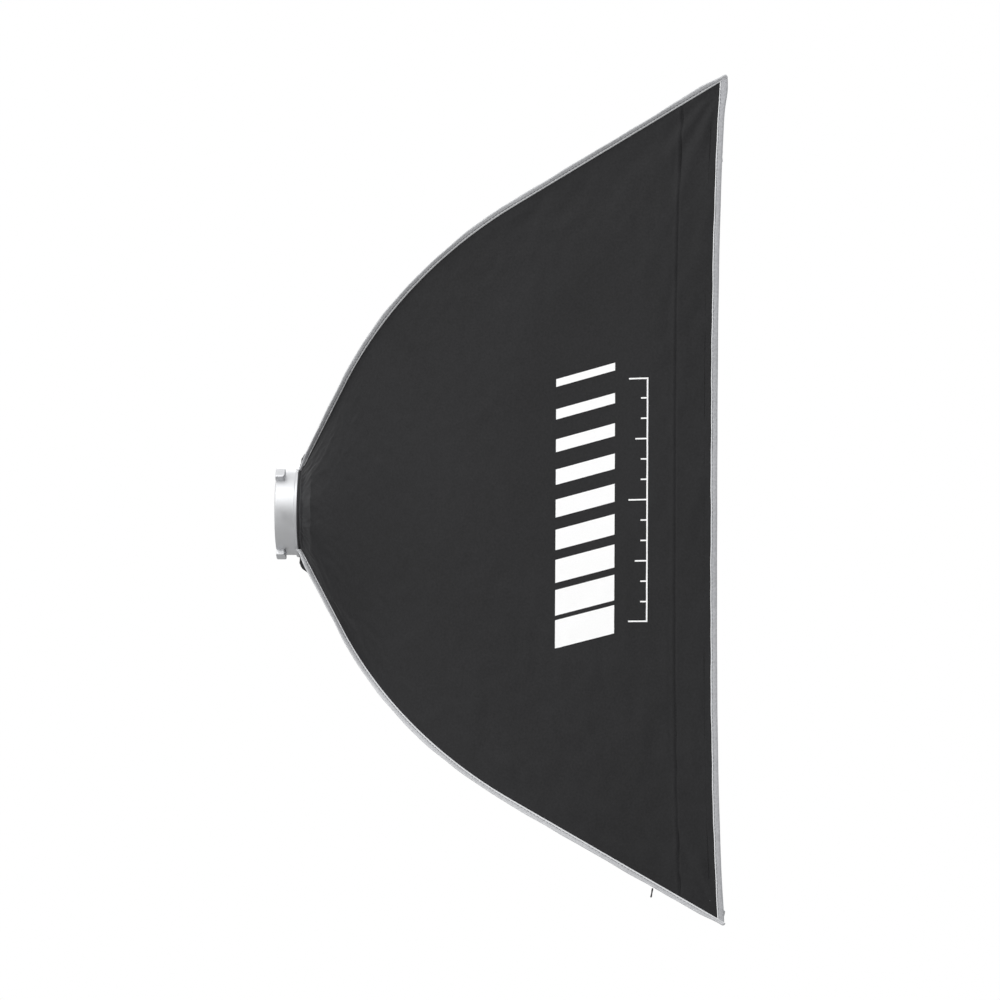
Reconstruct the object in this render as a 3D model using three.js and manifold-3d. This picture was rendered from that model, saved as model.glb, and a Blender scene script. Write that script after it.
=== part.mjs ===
// A rectangular softbox for a studio lamp, in millimetres.
//
// The row frame: the origin is the centre of the bayonet's seating plane, on the optical axis. +X runs along that axis
// from the lamp to the front diffuser, +Z is up along the long side of the front, and Y runs along its short side.
//
// How it is built: a bayonet insert locks into the lamp. A speedring turns round the insert and is kept on it by three
// swivelling clips. Four spring rods plug into sockets on the speedring, bend outwards and end in pockets at the front
// corners. They stretch four fabric panels, joined along the rods by bound seams and hemmed at the front edge. A front
// diffuser is held inside the lip by hook-and-loop tape, and an inner baffle hangs on elastic straps halfway.

import * as THREE from "three";
import { mergeVertices } from "three/addons/utils/BufferGeometryUtils.js";
import Module from "manifold-3d";

const wasm = await Module();
wasm.setup();

// ---------------------------------------------------------------- driving dimensions

const GAP = 0.3; // between solids that touch on the real thing

// Bayonet insert, from the lamp's side to the front. Radii from the optical axis.
const insert = {
  boreRadius: 46,
  tubeRadius: 49.5,
  tubeLength: 22,
  shoulderRadius: 52,
  shoulderLength: 3.5,
  neckRadius: 50.6,
  flangeRadius: 58.8,
  flangeX: 17.6,
  flangeThickness: 3.1,
};
const lug = { outerRadius: 56.5, length: 11, halfAngle: 8, angles: [49, 169, 289] };

// Speedring: turns on the insert's neck, and carries the rods.
const speedring = {
  hubX: 3.9,
  hubRadius: 52.4,
  coneX: 9,
  rimX: 18,
  rimRadius: 70,
  frontX: 21,
  boreRadius: 51.2,
  counterboreRadius: 59.5,
  counterboreX: 17.2,
};
const clip = { angles: [0, 90, 180, 270], pivotRadius: 64.6, thickness: 2, halfWidth: 5, reach: 10, holeRadius: 2.4 };
const screw = { shankRadius: 2, headRadius: 4, headHeight: 2.4, depth: 4.6 };

// The seam's profile, in the plane through the axis and a front corner: straight, an arc, straight.
const seamStart = { x: 7, radius: 54 };
const frontCorner = { x: 480, halfWidth: 297, halfHeight: 449 };
const rearSlope = 2.1; // rise from the axis per millimetre forwards
const frontSlope = 0.665;
const bendRadius = 552;

// Fabric
const FABRIC = 1.2;
const panelEdgeGap = 2; // each panel stops this short of the seam line
const ringReach = 26; // how fast the round rear end turns rectangular along X
const ringEnd = 21;
const domeHeight = 0.3; // how far the rear collar bulges backwards between the seams
const binding = { width: 6.4, thickness: 2, root: 0.8 };
const hem = { width: 6.5, cover: 0.8 };

// Rods and what is on them
const rod = { radius: 2.5, offset: 11, sides: 8 };
const socket = { outerRadius: 6.2, holeRadius: 4.5, length: 30, start: 14, floor: 6 };
const ferrule = { outerRadius: 4, boreRadius: 2.9, length: 46 };
const rodTip = { outerRadius: 3.8, boreRadius: 2.9, length: 18, end: 7, floor: 4 };
const pocket = { outerRadius: 5.2, boreRadius: 4.3, length: 36, end: 2, floor: 3 };

// Front diffuser and its tapes, measured back from the front edge along the fabric
const lipDepth = 56;
const loopTape = { width: 42, thickness: 0.9, reach: 0.93 };
const hookBorder = { width: 18, thickness: 1.1, reach: 0.9 };
const diffuserCloth = { thickness: 1.2, cornerCut: 22, crown: 4 };
const pullTab = { width: 22, length: 26, thickness: 1.4 };

// Inner baffle
const baffle = { x: 250, halfWidth: 165, halfHeight: 275, thickness: 1.2 };
const strap = { width: 15, thickness: 1.2 };

// Ribbon tab that hangs from the near lower seam
const ribbon = { x: 410, width: 8, thickness: 1.6, length: 12, drop: 1 };

// ---------------------------------------------------------------- materials

const material = (colour, roughness, metalness) =>
  new THREE.MeshStandardMaterial({ color: colour, roughness, metalness });

const finish = {
  aluminium: material(0xd5d6d9, 0.32, 1),
  castRing: material(0x2a2a2c, 0.55, 0.3),
  zincSteel: material(0xb9bcc0, 0.35, 1),
  springSteel: material(0x8d9196, 0.4, 1),
  blackPlastic: material(0x161617, 0.5, 0),
  blackFabric: material(0x2c2c2e, 0.85, 0),
  greyTape: material(0xb4b5b7, 0.8, 0),
  loopPile: material(0x1b1b1c, 1, 0),
  whiteCloth: material(0xf2f2f0, 0.9, 0),
  blackRibbon: material(0x1a1a1b, 0.8, 0),
};

// ---------------------------------------------------------------- solids

const part = new THREE.Group();
part.name = "softbox";

/** Adds a named mesh to the part and returns it. */
function add(name, geometry, look, parent = part) {
  const mesh = new THREE.Mesh(geometry, look);
  mesh.name = name;
  parent.add(mesh);
  return mesh;
}

/** A geometry's closed mesh as a manifold-3d solid. */
function solidOf(geometry) {
  const bare = new THREE.BufferGeometry().setAttribute("position", geometry.getAttribute("position"));
  if (geometry.index) bare.setIndex(geometry.index);
  const merged = mergeVertices(bare, 1e-3);
  const mesh = new wasm.Mesh({
    numProp: 3,
    vertProperties: new Float32Array(merged.attributes.position.array),
    triVerts: new Uint32Array(merged.index.array),
  });
  return new wasm.Manifold(mesh);
}

/** A manifold-3d solid back as a BufferGeometry. */
function geometryOf(solid) {
  const mesh = solid.getMesh();
  const geometry = new THREE.BufferGeometry();
  geometry.setAttribute("position", new THREE.BufferAttribute(mesh.vertProperties, 3));
  geometry.setIndex(new THREE.BufferAttribute(mesh.triVerts, 1));
  geometry.computeVertexNormals();
  return geometry;
}

/**
 * A closed solid through a row of closed loops that all have the same number of points. Each end is closed by a strip
 * between the loop's first half and its second, so a loop may be a bent strip as well as a convex outline.
 */
function loft(loops) {
  const count = loops[0].length;
  const positions = loops.flat().flatMap((p) => [p.x, p.y, p.z]);
  const index = [];
  for (let row = 0; row + 1 < loops.length; row++) {
    for (let i = 0; i < count; i++) {
      const a = row * count + i;
      const b = row * count + ((i + 1) % count);
      index.push(a, b, b + count, a, b + count, a + count);
    }
  }
  const last = (loops.length - 1) * count;
  for (let i = 0; i + 1 < count / 2; i++) {
    const [a, b, c, d] = [i, i + 1, count - 2 - i, count - 1 - i];
    index.push(a, c, b, a, d, c);
    index.push(last + a, last + b, last + c, last + a, last + c, last + d);
  }
  const geometry = new THREE.BufferGeometry();
  geometry.setAttribute("position", new THREE.Float32BufferAttribute(positions, 3));
  geometry.setIndex(index);
  if (signedVolume(geometry) < 0) geometry.setIndex(index.slice().reverse());
  geometry.computeVertexNormals();
  return geometry;
}

function signedVolume(geometry) {
  const position = geometry.getAttribute("position");
  const corners = [0, 1, 2].map(() => new THREE.Vector3());
  let volume = 0;
  for (let i = 0; i < geometry.index.count; i += 3) {
    corners.forEach((corner, k) => corner.fromBufferAttribute(position, geometry.index.getX(i + k)));
    volume += corners[0].dot(corners[1].cross(corners[2])) / 6;
  }
  return volume;
}

/** A solid of revolution about the X axis, from [x, radius] pairs that close on themselves. */
function turnedAboutX(profile, segments = 48) {
  const points = [...profile, profile[0]].map(([x, radius]) => new THREE.Vector2(radius, x));
  const lathe = new THREE.LatheGeometry(points, segments);
  lathe.rotateZ(-Math.PI / 2);
  return outward(lathe);
}

/** Turns a closed geometry's faces round if they point inwards. */
function outward(geometry) {
  if (signedVolume(geometry) < 0) geometry.setIndex(Array.from(geometry.index.array).reverse());
  return geometry;
}

/** A ring of points round a centre, in the plane of two unit vectors. */
function circle(centre, u, v, radius, sides) {
  return Array.from({ length: sides }, (_, i) => {
    const angle = (2 * Math.PI * i) / sides;
    return centre.clone().addScaledVector(u, radius * Math.cos(angle)).addScaledVector(v, radius * Math.sin(angle));
  });
}

const smooth = (x, low, high) => THREE.MathUtils.smoothstep(x, low, high);
const radians = THREE.MathUtils.degToRad;
const steps = (from, to, count) => Array.from({ length: count + 1 }, (_, i) => from + ((to - from) * i) / count);

// ---------------------------------------------------------------- the seam and the rod's line

const cornerRadius = Math.hypot(frontCorner.halfWidth, frontCorner.halfHeight);
const lateral = { y: frontCorner.halfWidth / cornerRadius, z: frontCorner.halfHeight / cornerRadius };
const rearAngle = Math.atan(rearSlope);
const frontAngle = Math.atan(frontSlope);
const turn = rearAngle - frontAngle;
const tangentLength = bendRadius * Math.tan(turn / 2);

// Where the two straight stretches would meet.
const meetX =
  (cornerRadius - seamStart.radius - frontSlope * frontCorner.x + rearSlope * seamStart.x) / (rearSlope - frontSlope);
const meetRadius = seamStart.radius + rearSlope * (meetX - seamStart.x);
const rearLength = Math.hypot(meetX - seamStart.x, meetRadius - seamStart.radius) - tangentLength;
const bendLength = bendRadius * turn;
const frontLength = Math.hypot(frontCorner.x - meetX, cornerRadius - meetRadius) - tangentLength;
const seamLength = rearLength + bendLength + frontLength;

/** The seam's profile at a length along it: x, distance from the axis, and the slope's angle. */
function seamProfile(along) {
  if (along <= rearLength) {
    const x = seamStart.x + along * Math.cos(rearAngle);
    return { x, radius: seamStart.radius + along * Math.sin(rearAngle), angle: rearAngle };
  }
  if (along <= rearLength + bendLength) {
    const turned = (along - rearLength) / bendRadius;
    const chord = 2 * bendRadius * Math.sin(turned / 2);
    const heading = rearAngle - turned / 2;
    const start = seamProfile(rearLength);
    return {
      x: start.x + chord * Math.cos(heading),
      radius: start.radius + chord * Math.sin(heading),
      angle: rearAngle - turned,
    };
  }
  const rest = seamLength - along;
  return {
    x: frontCorner.x - rest * Math.cos(frontAngle),
    radius: cornerRadius - rest * Math.sin(frontAngle),
    angle: frontAngle,
  };
}

/** How far the fabric's section has turned from round, at the ring, to rectangular. */
const squareness = (x) => 1 - Math.exp(-Math.max(0, x - ringEnd) / ringReach);

/** The seam's place and its frame: along it, outwards on the corner's bisector, and across. */
function seamFrame(along, sideY, sideZ) {
  const { x, radius, angle } = seamProfile(along);
  const place = new THREE.Vector3(x, sideY * radius * lateral.y, sideZ * radius * lateral.z);
  const forward = new THREE.Vector3(
    Math.cos(angle),
    sideY * Math.sin(angle) * lateral.y,
    sideZ * Math.sin(angle) * lateral.z,
  );
  const outwards = new THREE.Vector3(0, sideY * Math.SQRT1_2, sideZ * Math.SQRT1_2);
  outwards.addScaledVector(forward, -outwards.dot(forward)).normalize();
  return { place, forward, outwards, across: new THREE.Vector3().crossVectors(forward, outwards) };
}

/** A point near the seam, a distance outwards and across from it. */
function nearSeam(frame, out, across) {
  return frame.place.clone().addScaledVector(frame.outwards, out).addScaledVector(frame.across, across);
}

/** The rod's section at a length along the seam. The rod lies inside the seam, by its offset. */
function rodLoop(along, sideY, sideZ, radius, sides = rod.sides) {
  const frame = seamFrame(along, sideY, sideZ);
  return circle(nearSeam(frame, -rod.offset, 0), frame.outwards, frame.across, radius, sides);
}

// The four corners, numbered anticlockwise as seen from the front, from the near lower one.
const corners = [
  { number: 1, sideY: -1, sideZ: -1 },
  { number: 2, sideY: 1, sideZ: -1 },
  { number: 3, sideY: 1, sideZ: 1 },
  { number: 4, sideY: -1, sideZ: 1 },
];

// ---------------------------------------------------------------- the panels' surfaces

/**
 * The four panels. "out" is the axis the panel faces along and "span" the axis that it spans between its two seams.
 * hemBow is how far back the middle of the front edge lies, hemInset and saddle how far in the fabric is drawn.
 */
const panels = [
  { name: "side_near", out: "y", side: -1, span: "z", hemBow: 8.5, hemInset: 9, saddle: 8 },
  { name: "side_far", out: "y", side: 1, span: "z", hemBow: 8.5, hemInset: 9, saddle: 8 },
  { name: "top", out: "z", side: 1, span: "y", hemBow: 5, hemInset: 5, saddle: 5 },
  { name: "bottom", out: "z", side: -1, span: "y", hemBow: 5, hemInset: 5, saddle: 5 },
];

/** A point on the outside of a panel: "along" runs from the ring to the front, v from one seam (-1) to the other (1). */
function outside(panel, along, v) {
  const { x, radius } = seamProfile(along);
  const seamAngle = Math.acos(lateral[panel.out]);
  const share = squareness(x);
  const bow = 1 - v * v;
  const inset = panel.hemInset * smooth(along, 0.35 * seamLength, seamLength);
  const saddle = panel.saddle * Math.sin(Math.PI * smooth(along, 0.12 * seamLength, seamLength));
  const round = { out: radius * Math.cos(v * seamAngle), span: radius * Math.sin(v * seamAngle) };
  const square = { out: radius * lateral[panel.out] - bow * (inset + saddle), span: v * radius * lateral[panel.span] };
  const dome = domeHeight * bow * (1 - smooth(along, 0, 60));
  const hemShape = 1 - Math.abs(v) ** 3.2;
  const back = panel.hemBow * hemShape * smooth(along, seamLength - 170, seamLength);
  const point = new THREE.Vector3(x - dome - back, 0, 0);
  point[panel.out] = panel.side * THREE.MathUtils.lerp(round.out, square.out, share);
  point[panel.span] = THREE.MathUtils.lerp(round.span, square.span, share);
  return point;
}

/** The outside's unit normal. */
function outsideNormal(panel, along, v) {
  const step = 1e-2;
  const a = outside(panel, along + step, v).sub(outside(panel, along - step, v));
  const b = outside(panel, along, v + step * 0.01).sub(outside(panel, along, v - step * 0.01));
  const normal = a.cross(b).normalize();
  return normal[panel.out] * panel.side < 0 ? normal.negate() : normal;
}

/** A point a depth below the outside of a panel. */
function under(panel, along, v, depth) {
  return outside(panel, along, v).addScaledVector(outsideNormal(panel, along, v), -depth);
}

/** v where a panel stops, a set distance short of the seam. */
function edgeOf(panel, along, gap = panelEdgeGap) {
  return 1 - gap / (seamProfile(along).radius * lateral[panel.span]);
}

/** A strip of fabric or tape that runs across a panel, with a section given as [along, depth] pairs. */
function crossStrip(panel, section, reach) {
  return loft(columnsTo(reach).map((v) => section.map(([along, depth]) => under(panel, along, v, depth))));
}

// ---------------------------------------------------------------- bayonet insert

/** A box of the lug's section, bent round the tube. */
function lugSolid(centreDegrees) {
  const rear = -insert.tubeLength;
  const loops = steps(-lug.halfAngle, lug.halfAngle, 4).map((offset) => {
    const angle = radians(centreDegrees + offset);
    const at = (x, radius) => new THREE.Vector3(x, -radius * Math.cos(angle), radius * Math.sin(angle));
    const root = insert.tubeRadius - 1.5;
    return [
      at(rear, root),
      at(rear, lug.outerRadius - 1),
      at(rear + 1, lug.outerRadius),
      at(rear + lug.length, lug.outerRadius),
      at(rear + lug.length, root + 0.5),
      at(rear + lug.length, root),
    ];
  });
  return solidOf(loft(loops));
}

function bayonetInsert() {
  const flangeFront = insert.flangeX + insert.flangeThickness;
  const body = solidOf(
    turnedAboutX([
      [-insert.tubeLength, insert.boreRadius],
      [-insert.tubeLength, insert.tubeRadius - 0.8],
      [-insert.tubeLength + 0.8, insert.tubeRadius],
      [0, insert.tubeRadius],
      [0, insert.shoulderRadius],
      [insert.shoulderLength, insert.shoulderRadius],
      [insert.shoulderLength, insert.neckRadius],
      [insert.flangeX, insert.neckRadius],
      [insert.flangeX, insert.flangeRadius],
      [flangeFront, insert.flangeRadius],
      [flangeFront, insert.boreRadius],
    ]),
  );
  const withLugs = lug.angles.reduce((solid, angle) => solid.add(lugSolid(angle)), body);
  add("bayonet_insert", geometryOf(withLugs), finish.aluminium);
}

// ---------------------------------------------------------------- speedring, clips and screws

/** A straight tube's solid along the rear end of a rod's line, from one length to another. */
function rodCylinder(from, to, sideY, sideZ, radius, sides) {
  const shift = (loop, forward, by) => loop.map((p) => p.clone().addScaledVector(forward, by));
  const { forward } = seamFrame(0, sideY, sideZ);
  const base = rodLoop(0, sideY, sideZ, radius, sides);
  return solidOf(loft([shift(base, forward, from), shift(base, forward, to)]));
}

/** A point on a circle round the axis, at a clip's angle. */
function roundAxis(x, radius, degrees) {
  return new THREE.Vector3(x, -radius * Math.cos(radians(degrees)), radius * Math.sin(radians(degrees)));
}

/** A cylinder along X, centred on a point of a clip's screw line. */
function alongX(fromX, toX, radius, centre, sides = 12) {
  const u = new THREE.Vector3(0, 1, 0);
  const v = new THREE.Vector3(0, 0, 1);
  const ends = [fromX, toX].map((x) => circle(new THREE.Vector3(x, centre.y, centre.z), u, v, radius, sides));
  return solidOf(loft(ends));
}

function speedringSolid() {
  const s = speedring;
  let ring = solidOf(
    turnedAboutX([
      [s.hubX, s.boreRadius],
      [s.hubX, s.hubRadius],
      [s.coneX, s.hubRadius],
      [s.rimX - 1.5, s.rimRadius - 3.5],
      [s.rimX, s.rimRadius],
      [s.frontX, s.rimRadius],
      [s.frontX, s.boreRadius],
    ]),
  );
  for (const { sideY, sideZ } of corners) {
    ring = ring.add(rodCylinder(socket.start, socket.start + socket.length, sideY, sideZ, socket.outerRadius, 16));
  }
  const counterbore = [
    [s.counterboreX, 0.01],
    [s.counterboreX, s.counterboreRadius],
    [s.frontX + 40, s.counterboreRadius],
    [s.frontX + 40, 0.01],
  ];
  ring = ring.subtract(solidOf(turnedAboutX(counterbore)));
  for (const { sideY, sideZ } of corners) {
    const from = socket.start + socket.floor;
    const to = socket.start + socket.length + 5;
    ring = ring.subtract(rodCylinder(from, to, sideY, sideZ, socket.holeRadius, 12));
  }
  for (const angle of clip.angles) {
    const holeFloor = s.frontX - screw.depth - 0.4;
    ring = ring.subtract(alongX(holeFloor, s.frontX + 1, screw.shankRadius + 0.35, roundAxis(0, clip.pivotRadius, angle)));
  }
  add("speedring", geometryOf(ring), finish.castRing);
}

/** A flat clip that reaches from its screw in over the insert's flange. */
function clipSolid(angle) {
  const pivot = roundAxis(0, clip.pivotRadius, angle);
  const inwards = pivot.clone().normalize().negate();
  const across = new THREE.Vector3(1, 0, 0).cross(inwards);
  const rear = speedring.frontX + GAP;
  const outline = [
    ...steps(-90, 90, 6).map((turned) => [-clip.halfWidth * Math.cos(radians(turned)), clip.halfWidth * Math.sin(radians(turned))]),
    [clip.reach - 1, clip.halfWidth],
    [clip.reach, clip.halfWidth - 1],
    [clip.reach, -clip.halfWidth + 1],
    [clip.reach - 1, -clip.halfWidth],
  ];
  const layer = (x) =>
    outline.map(([along, side]) => {
      const point = pivot.clone().addScaledVector(inwards, along).addScaledVector(across, side);
      return point.setX(x);
    });
  const shape = new THREE.Shape(outline.map(([along, side]) => new THREE.Vector2(along, side)));
  const plate = new THREE.ExtrudeGeometry(shape, { depth: clip.thickness, bevelEnabled: false });
  const basis = new THREE.Matrix4().makeBasis(inwards, across, new THREE.Vector3(1, 0, 0));
  plate.applyMatrix4(basis.setPosition(rear, pivot.y, pivot.z));
  const hole = alongX(rear - 1, layer(rear)[0].x + clip.thickness + 1, clip.holeRadius, pivot);
  return solidOf(plate).subtract(hole);
}

function screwSolid(angle) {
  const centre = roundAxis(0, clip.pivotRadius, angle);
  const headX = speedring.frontX + GAP + clip.thickness + GAP;
  const shank = alongX(speedring.frontX - screw.depth, headX + 0.5, screw.shankRadius, centre);
  const head = alongX(headX, headX + screw.headHeight, screw.headRadius, centre, 16);
  const slot = new THREE.BoxGeometry(2, screw.headRadius * 3, 1);
  slot.translate(headX + screw.headHeight, centre.y, centre.z);
  return shank.add(head).subtract(solidOf(slot));
}

function clipsAndScrews() {
  clip.angles.forEach((angle, i) => {
    add(`retaining_clip_${i + 1}`, geometryOf(clipSolid(angle)), finish.zincSteel);
    add(`clip_screw_${i + 1}`, geometryOf(screwSolid(angle)), finish.zincSteel);
  });
}

// ---------------------------------------------------------------- rods

/** A cup round the rod's line, open towards the ring. */
function rodCup(cup, sideY, sideZ, sides) {
  const end = seamLength - cup.end;
  const rows = (from, to, radius) => steps(from, to, 3).map((along) => rodLoop(along, sideY, sideZ, radius, sides));
  const body = solidOf(loft(rows(end - cup.length, end, cup.outerRadius)));
  return body.subtract(solidOf(loft(rows(end - cup.length - 1, end - cup.floor, cup.boreRadius))));
}

function rods() {
  const start = socket.start + socket.floor + 1;
  const end = seamLength - rodTip.end - rodTip.floor - 0.5;
  for (const { number, sideY, sideZ } of corners) {
    const along = [start, start + 30, ...steps(rearLength, rearLength + bendLength, 12), end];
    add(`rod_${number}`, loft(along.map((s) => rodLoop(s, sideY, sideZ, rod.radius))), finish.springSteel);

    const outer = rodCylinder(start, start + ferrule.length, sideY, sideZ, ferrule.outerRadius, 12);
    const bore = rodCylinder(start - 1, start + ferrule.length + 1, sideY, sideZ, ferrule.boreRadius, 8);
    add(`rod_ferrule_${number}`, geometryOf(outer.subtract(bore)), finish.zincSteel);
    add(`rod_tip_${number}`, geometryOf(rodCup(rodTip, sideY, sideZ, 8)), finish.blackPlastic);
    add(`corner_pocket_${number}`, geometryOf(rodCup(pocket, sideY, sideZ, 10)), finish.greyTape);
  }
}

// ---------------------------------------------------------------- panels, seams and hems

// Where the panels' rows lie, closer together where the fabric bends round the ring.
const panelRows = [
  ...[0, 7, 15, 26, 40, 60, 85, 115],
  ...steps(150, rearLength + bendLength, 5),
  seamLength - 130,
  seamLength - 85,
  seamLength - lipDepth,
  seamLength - lipDepth + loopTape.width,
  seamLength - hem.width,
  seamLength,
];

// Where the columns lie between one seam (-1) and the other (1), closer together near the corners.
const columns = [-0.93, -0.8, -0.56, -0.28, 0, 0.28, 0.56, 0.8, 0.93];
const columnsTo = (reach) => [-reach, ...columns.filter((v) => Math.abs(v) < reach - 0.01), reach];

function panelSolid(panel) {
  const loops = panelRows.map((along) => {
    const vs = columnsTo(Math.max(0.95, edgeOf(panel, along)));
    return [...vs.map((v) => under(panel, along, v, 0)), ...vs.reverse().map((v) => under(panel, along, v, FABRIC))];
  });
  return loft(loops);
}

/** The bound seam: a tape folded over both panels' edges, which stands out from the corner. */
function seamBinding(sideY, sideZ) {
  const half = binding.thickness / 2;
  const along = [0, 30, 70, ...steps(rearLength, rearLength + bendLength, 12), 560, seamLength];
  return loft(
    along.map((s) => {
      const frame = seamFrame(s, sideY, sideZ);
      return [
        nearSeam(frame, -binding.root, -half),
        nearSeam(frame, binding.width, -half),
        nearSeam(frame, binding.width, half),
        nearSeam(frame, -binding.root, half),
      ];
    }),
  );
}

/** The front hem: a tape folded round the panel's front edge. */
function frontHem(panel) {
  const start = seamLength - hem.width;
  const [outerTop, outerFace] = [-GAP - hem.cover, -GAP];
  const [innerFace, innerTop] = [FABRIC + GAP, FABRIC + GAP + hem.cover];
  const section = [
    [start, outerTop],
    [seamLength + GAP + hem.cover, outerTop],
    [seamLength + GAP + hem.cover, innerTop],
    [start, innerTop],
    [start, innerFace],
    [seamLength + GAP, innerFace],
    [seamLength + GAP, outerFace],
    [start, outerFace],
  ];
  return crossStrip(panel, section, 0.978);
}

function fabric() {
  for (const panel of panels) {
    add(`panel_${panel.name}`, panelSolid(panel), finish.blackFabric);
    add(`front_hem_${panel.name}`, frontHem(panel), finish.greyTape);
  }
  for (const { number, sideY, sideZ } of corners) {
    add(`seam_binding_${number}`, seamBinding(sideY, sideZ), finish.greyTape);
  }
}

// ---------------------------------------------------------------- front diffuser

const loopDepth = FABRIC + GAP;
const hookDepth = loopDepth + loopTape.thickness + GAP;
const clothX = seamProfile(seamLength - lipDepth).x;

/** The section of a tape that lies under a panel, as [along, depth] pairs. */
function tapeSection(start, width, depth, thickness) {
  return [
    [start, depth],
    [start + width, depth],
    [start + width, depth + thickness],
    [start, depth + thickness],
  ];
}

/** Half the diffuser cloth's size across a panel's axis, where it meets that panel at v. */
function clothReach(panel, v) {
  const point = under(panel, seamLength - lipDepth, v, hookDepth + hookBorder.thickness + GAP);
  return Math.abs(point[panel.out]);
}

/** The diffuser's cloth: a sheet across the box, with cut corners and a slight crown. */
function diffuserSheet() {
  const [near, top] = [panels[0], panels[2]];
  const cut = 1 - diffuserCloth.cornerCut / frontCorner.halfHeight;
  const rows = [-1, -0.97, ...steps(-cut + 0.02, cut - 0.02, 8), 0.97, 1];
  const loops = rows.map((w) => {
    const z = w * clothReach(top, 0) ;
    const nearEnd = Math.max(0, Math.abs(z) - (clothReach(top, 1) - diffuserCloth.cornerCut));
    const halfWidth = clothReach(near, w) - nearEnd;
    const vs = steps(-1, 1, 8);
    const sheet = (shift) =>
      vs.map((v) => {
        const crown = diffuserCloth.crown * (1 - v * v) * (1 - w * w);
        return new THREE.Vector3(clothX - 3 + crown + shift, v * halfWidth, z);
      });
    return [...sheet(0), ...sheet(-diffuserCloth.thickness).reverse()];
  });
  return loft(loops);
}

function diffuser() {
  for (const panel of panels) {
    const loops = tapeSection(seamLength - lipDepth, loopTape.width, loopDepth, loopTape.thickness);
    const hooks = tapeSection(seamLength - lipDepth + 2, hookBorder.width, hookDepth, hookBorder.thickness);
    add(`loop_tape_${panel.name}`, crossStrip(panel, loops, loopTape.reach), finish.loopPile);
    add(`hook_border_${panel.name}`, crossStrip(panel, hooks, hookBorder.reach), finish.whiteCloth);
  }
  add("diffuser_cloth", diffuserSheet(), finish.whiteCloth);
  const tab = new THREE.BoxGeometry(pullTab.length, pullTab.width, pullTab.thickness);
  const tabZ = -under(panels[3], seamLength - lipDepth + 10, 0, hookDepth + hookBorder.thickness + 4).z;
  tab.translate(clothX + pullTab.length / 2 + 2, 0, -tabZ);
  add("diffuser_pull_tab", tab, finish.blackRibbon);
}

// ---------------------------------------------------------------- inner baffle and ribbon tab

/** The length along the seam where it has come forward to x. */
const alongAt = (x) => steps(0, seamLength, 800).find((along) => seamProfile(along).x >= x);

/** Where a rod's centre line passes through the plane at x. */
function rodCentreAt(x, sideY, sideZ) {
  const centre = (along) => nearSeam(seamFrame(along, sideY, sideZ), -rod.offset, 0);
  return steps(0, seamLength, 800).map(centre).find((point) => point.x >= x).setX(x);
}

/** A strap in the baffle's plane, from its edge to what holds it, clear of both by a gap. */
function baffleStrap(name, from, to) {
  const way = to.clone().sub(from);
  const length = way.length() - 2 * GAP;
  const box = new THREE.BoxGeometry(strap.thickness, length, strap.width);
  box.rotateX(Math.atan2(way.z, way.y));
  const middle = from.clone().add(to).multiplyScalar(0.5);
  box.translate(middle.x, middle.y, middle.z);
  add(name, box, finish.whiteCloth);
}

function innerBaffle() {
  const cloth = new THREE.BoxGeometry(baffle.thickness, 2 * baffle.halfWidth, 2 * baffle.halfHeight);
  cloth.translate(baffle.x, 0, 0);
  add("baffle_cloth", cloth, finish.whiteCloth);

  const along = alongAt(baffle.x);
  for (const panel of panels) {
    const edge = new THREE.Vector3(baffle.x, 0, 0);
    edge[panel.out] = panel.side * (panel.out === "y" ? baffle.halfWidth : baffle.halfHeight);
    const wall = under(panel, along, 0, FABRIC + 2.5).setX(baffle.x);
    baffleStrap(`baffle_strap_${panel.name}`, edge, wall);
  }
  for (const { number, sideY, sideZ } of corners) {
    const corner = new THREE.Vector3(baffle.x, sideY * baffle.halfWidth, sideZ * baffle.halfHeight);
    const rodPlace = rodCentreAt(baffle.x, sideY, sideZ);
    const way = rodPlace.clone().sub(corner).normalize();
    const from = corner.addScaledVector(way, strap.width * 0.5);
    baffleStrap(`baffle_strap_corner_${number}`, from, rodPlace.addScaledVector(way, -2 * rod.radius));
  }
}

function ribbonTab() {
  const edge = nearSeam(seamFrame(alongAt(ribbon.x), -1, -1), binding.width, 0);
  const box = new THREE.BoxGeometry(ribbon.thickness, ribbon.width, ribbon.length);
  box.translate(edge.x, edge.y, edge.z - ribbon.drop - ribbon.length / 2);
  add("ribbon_tab", box, finish.blackRibbon);
}

// ---------------------------------------------------------------- assembly

bayonetInsert();
speedringSolid();
clipsAndScrews();
rods();
fabric();
diffuser();
innerBaffle();
ribbonTab();

export default part;
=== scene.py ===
"""A rectangular rod-framed softbox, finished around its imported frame.

Lengths inside the classes are millimetres in the row frame: +X runs forwards along the optical axis, +Z up
along the long side of the front, and Y across. They are turned into metres where a mesh is made.
"""

import logging
import math
from collections.abc import Iterable, Sequence
from dataclasses import dataclass, field
from enum import Enum
from typing import Any

import bpy
import numpy as np
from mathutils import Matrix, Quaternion, Vector
from mathutils.bvhtree import BVHTree


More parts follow.
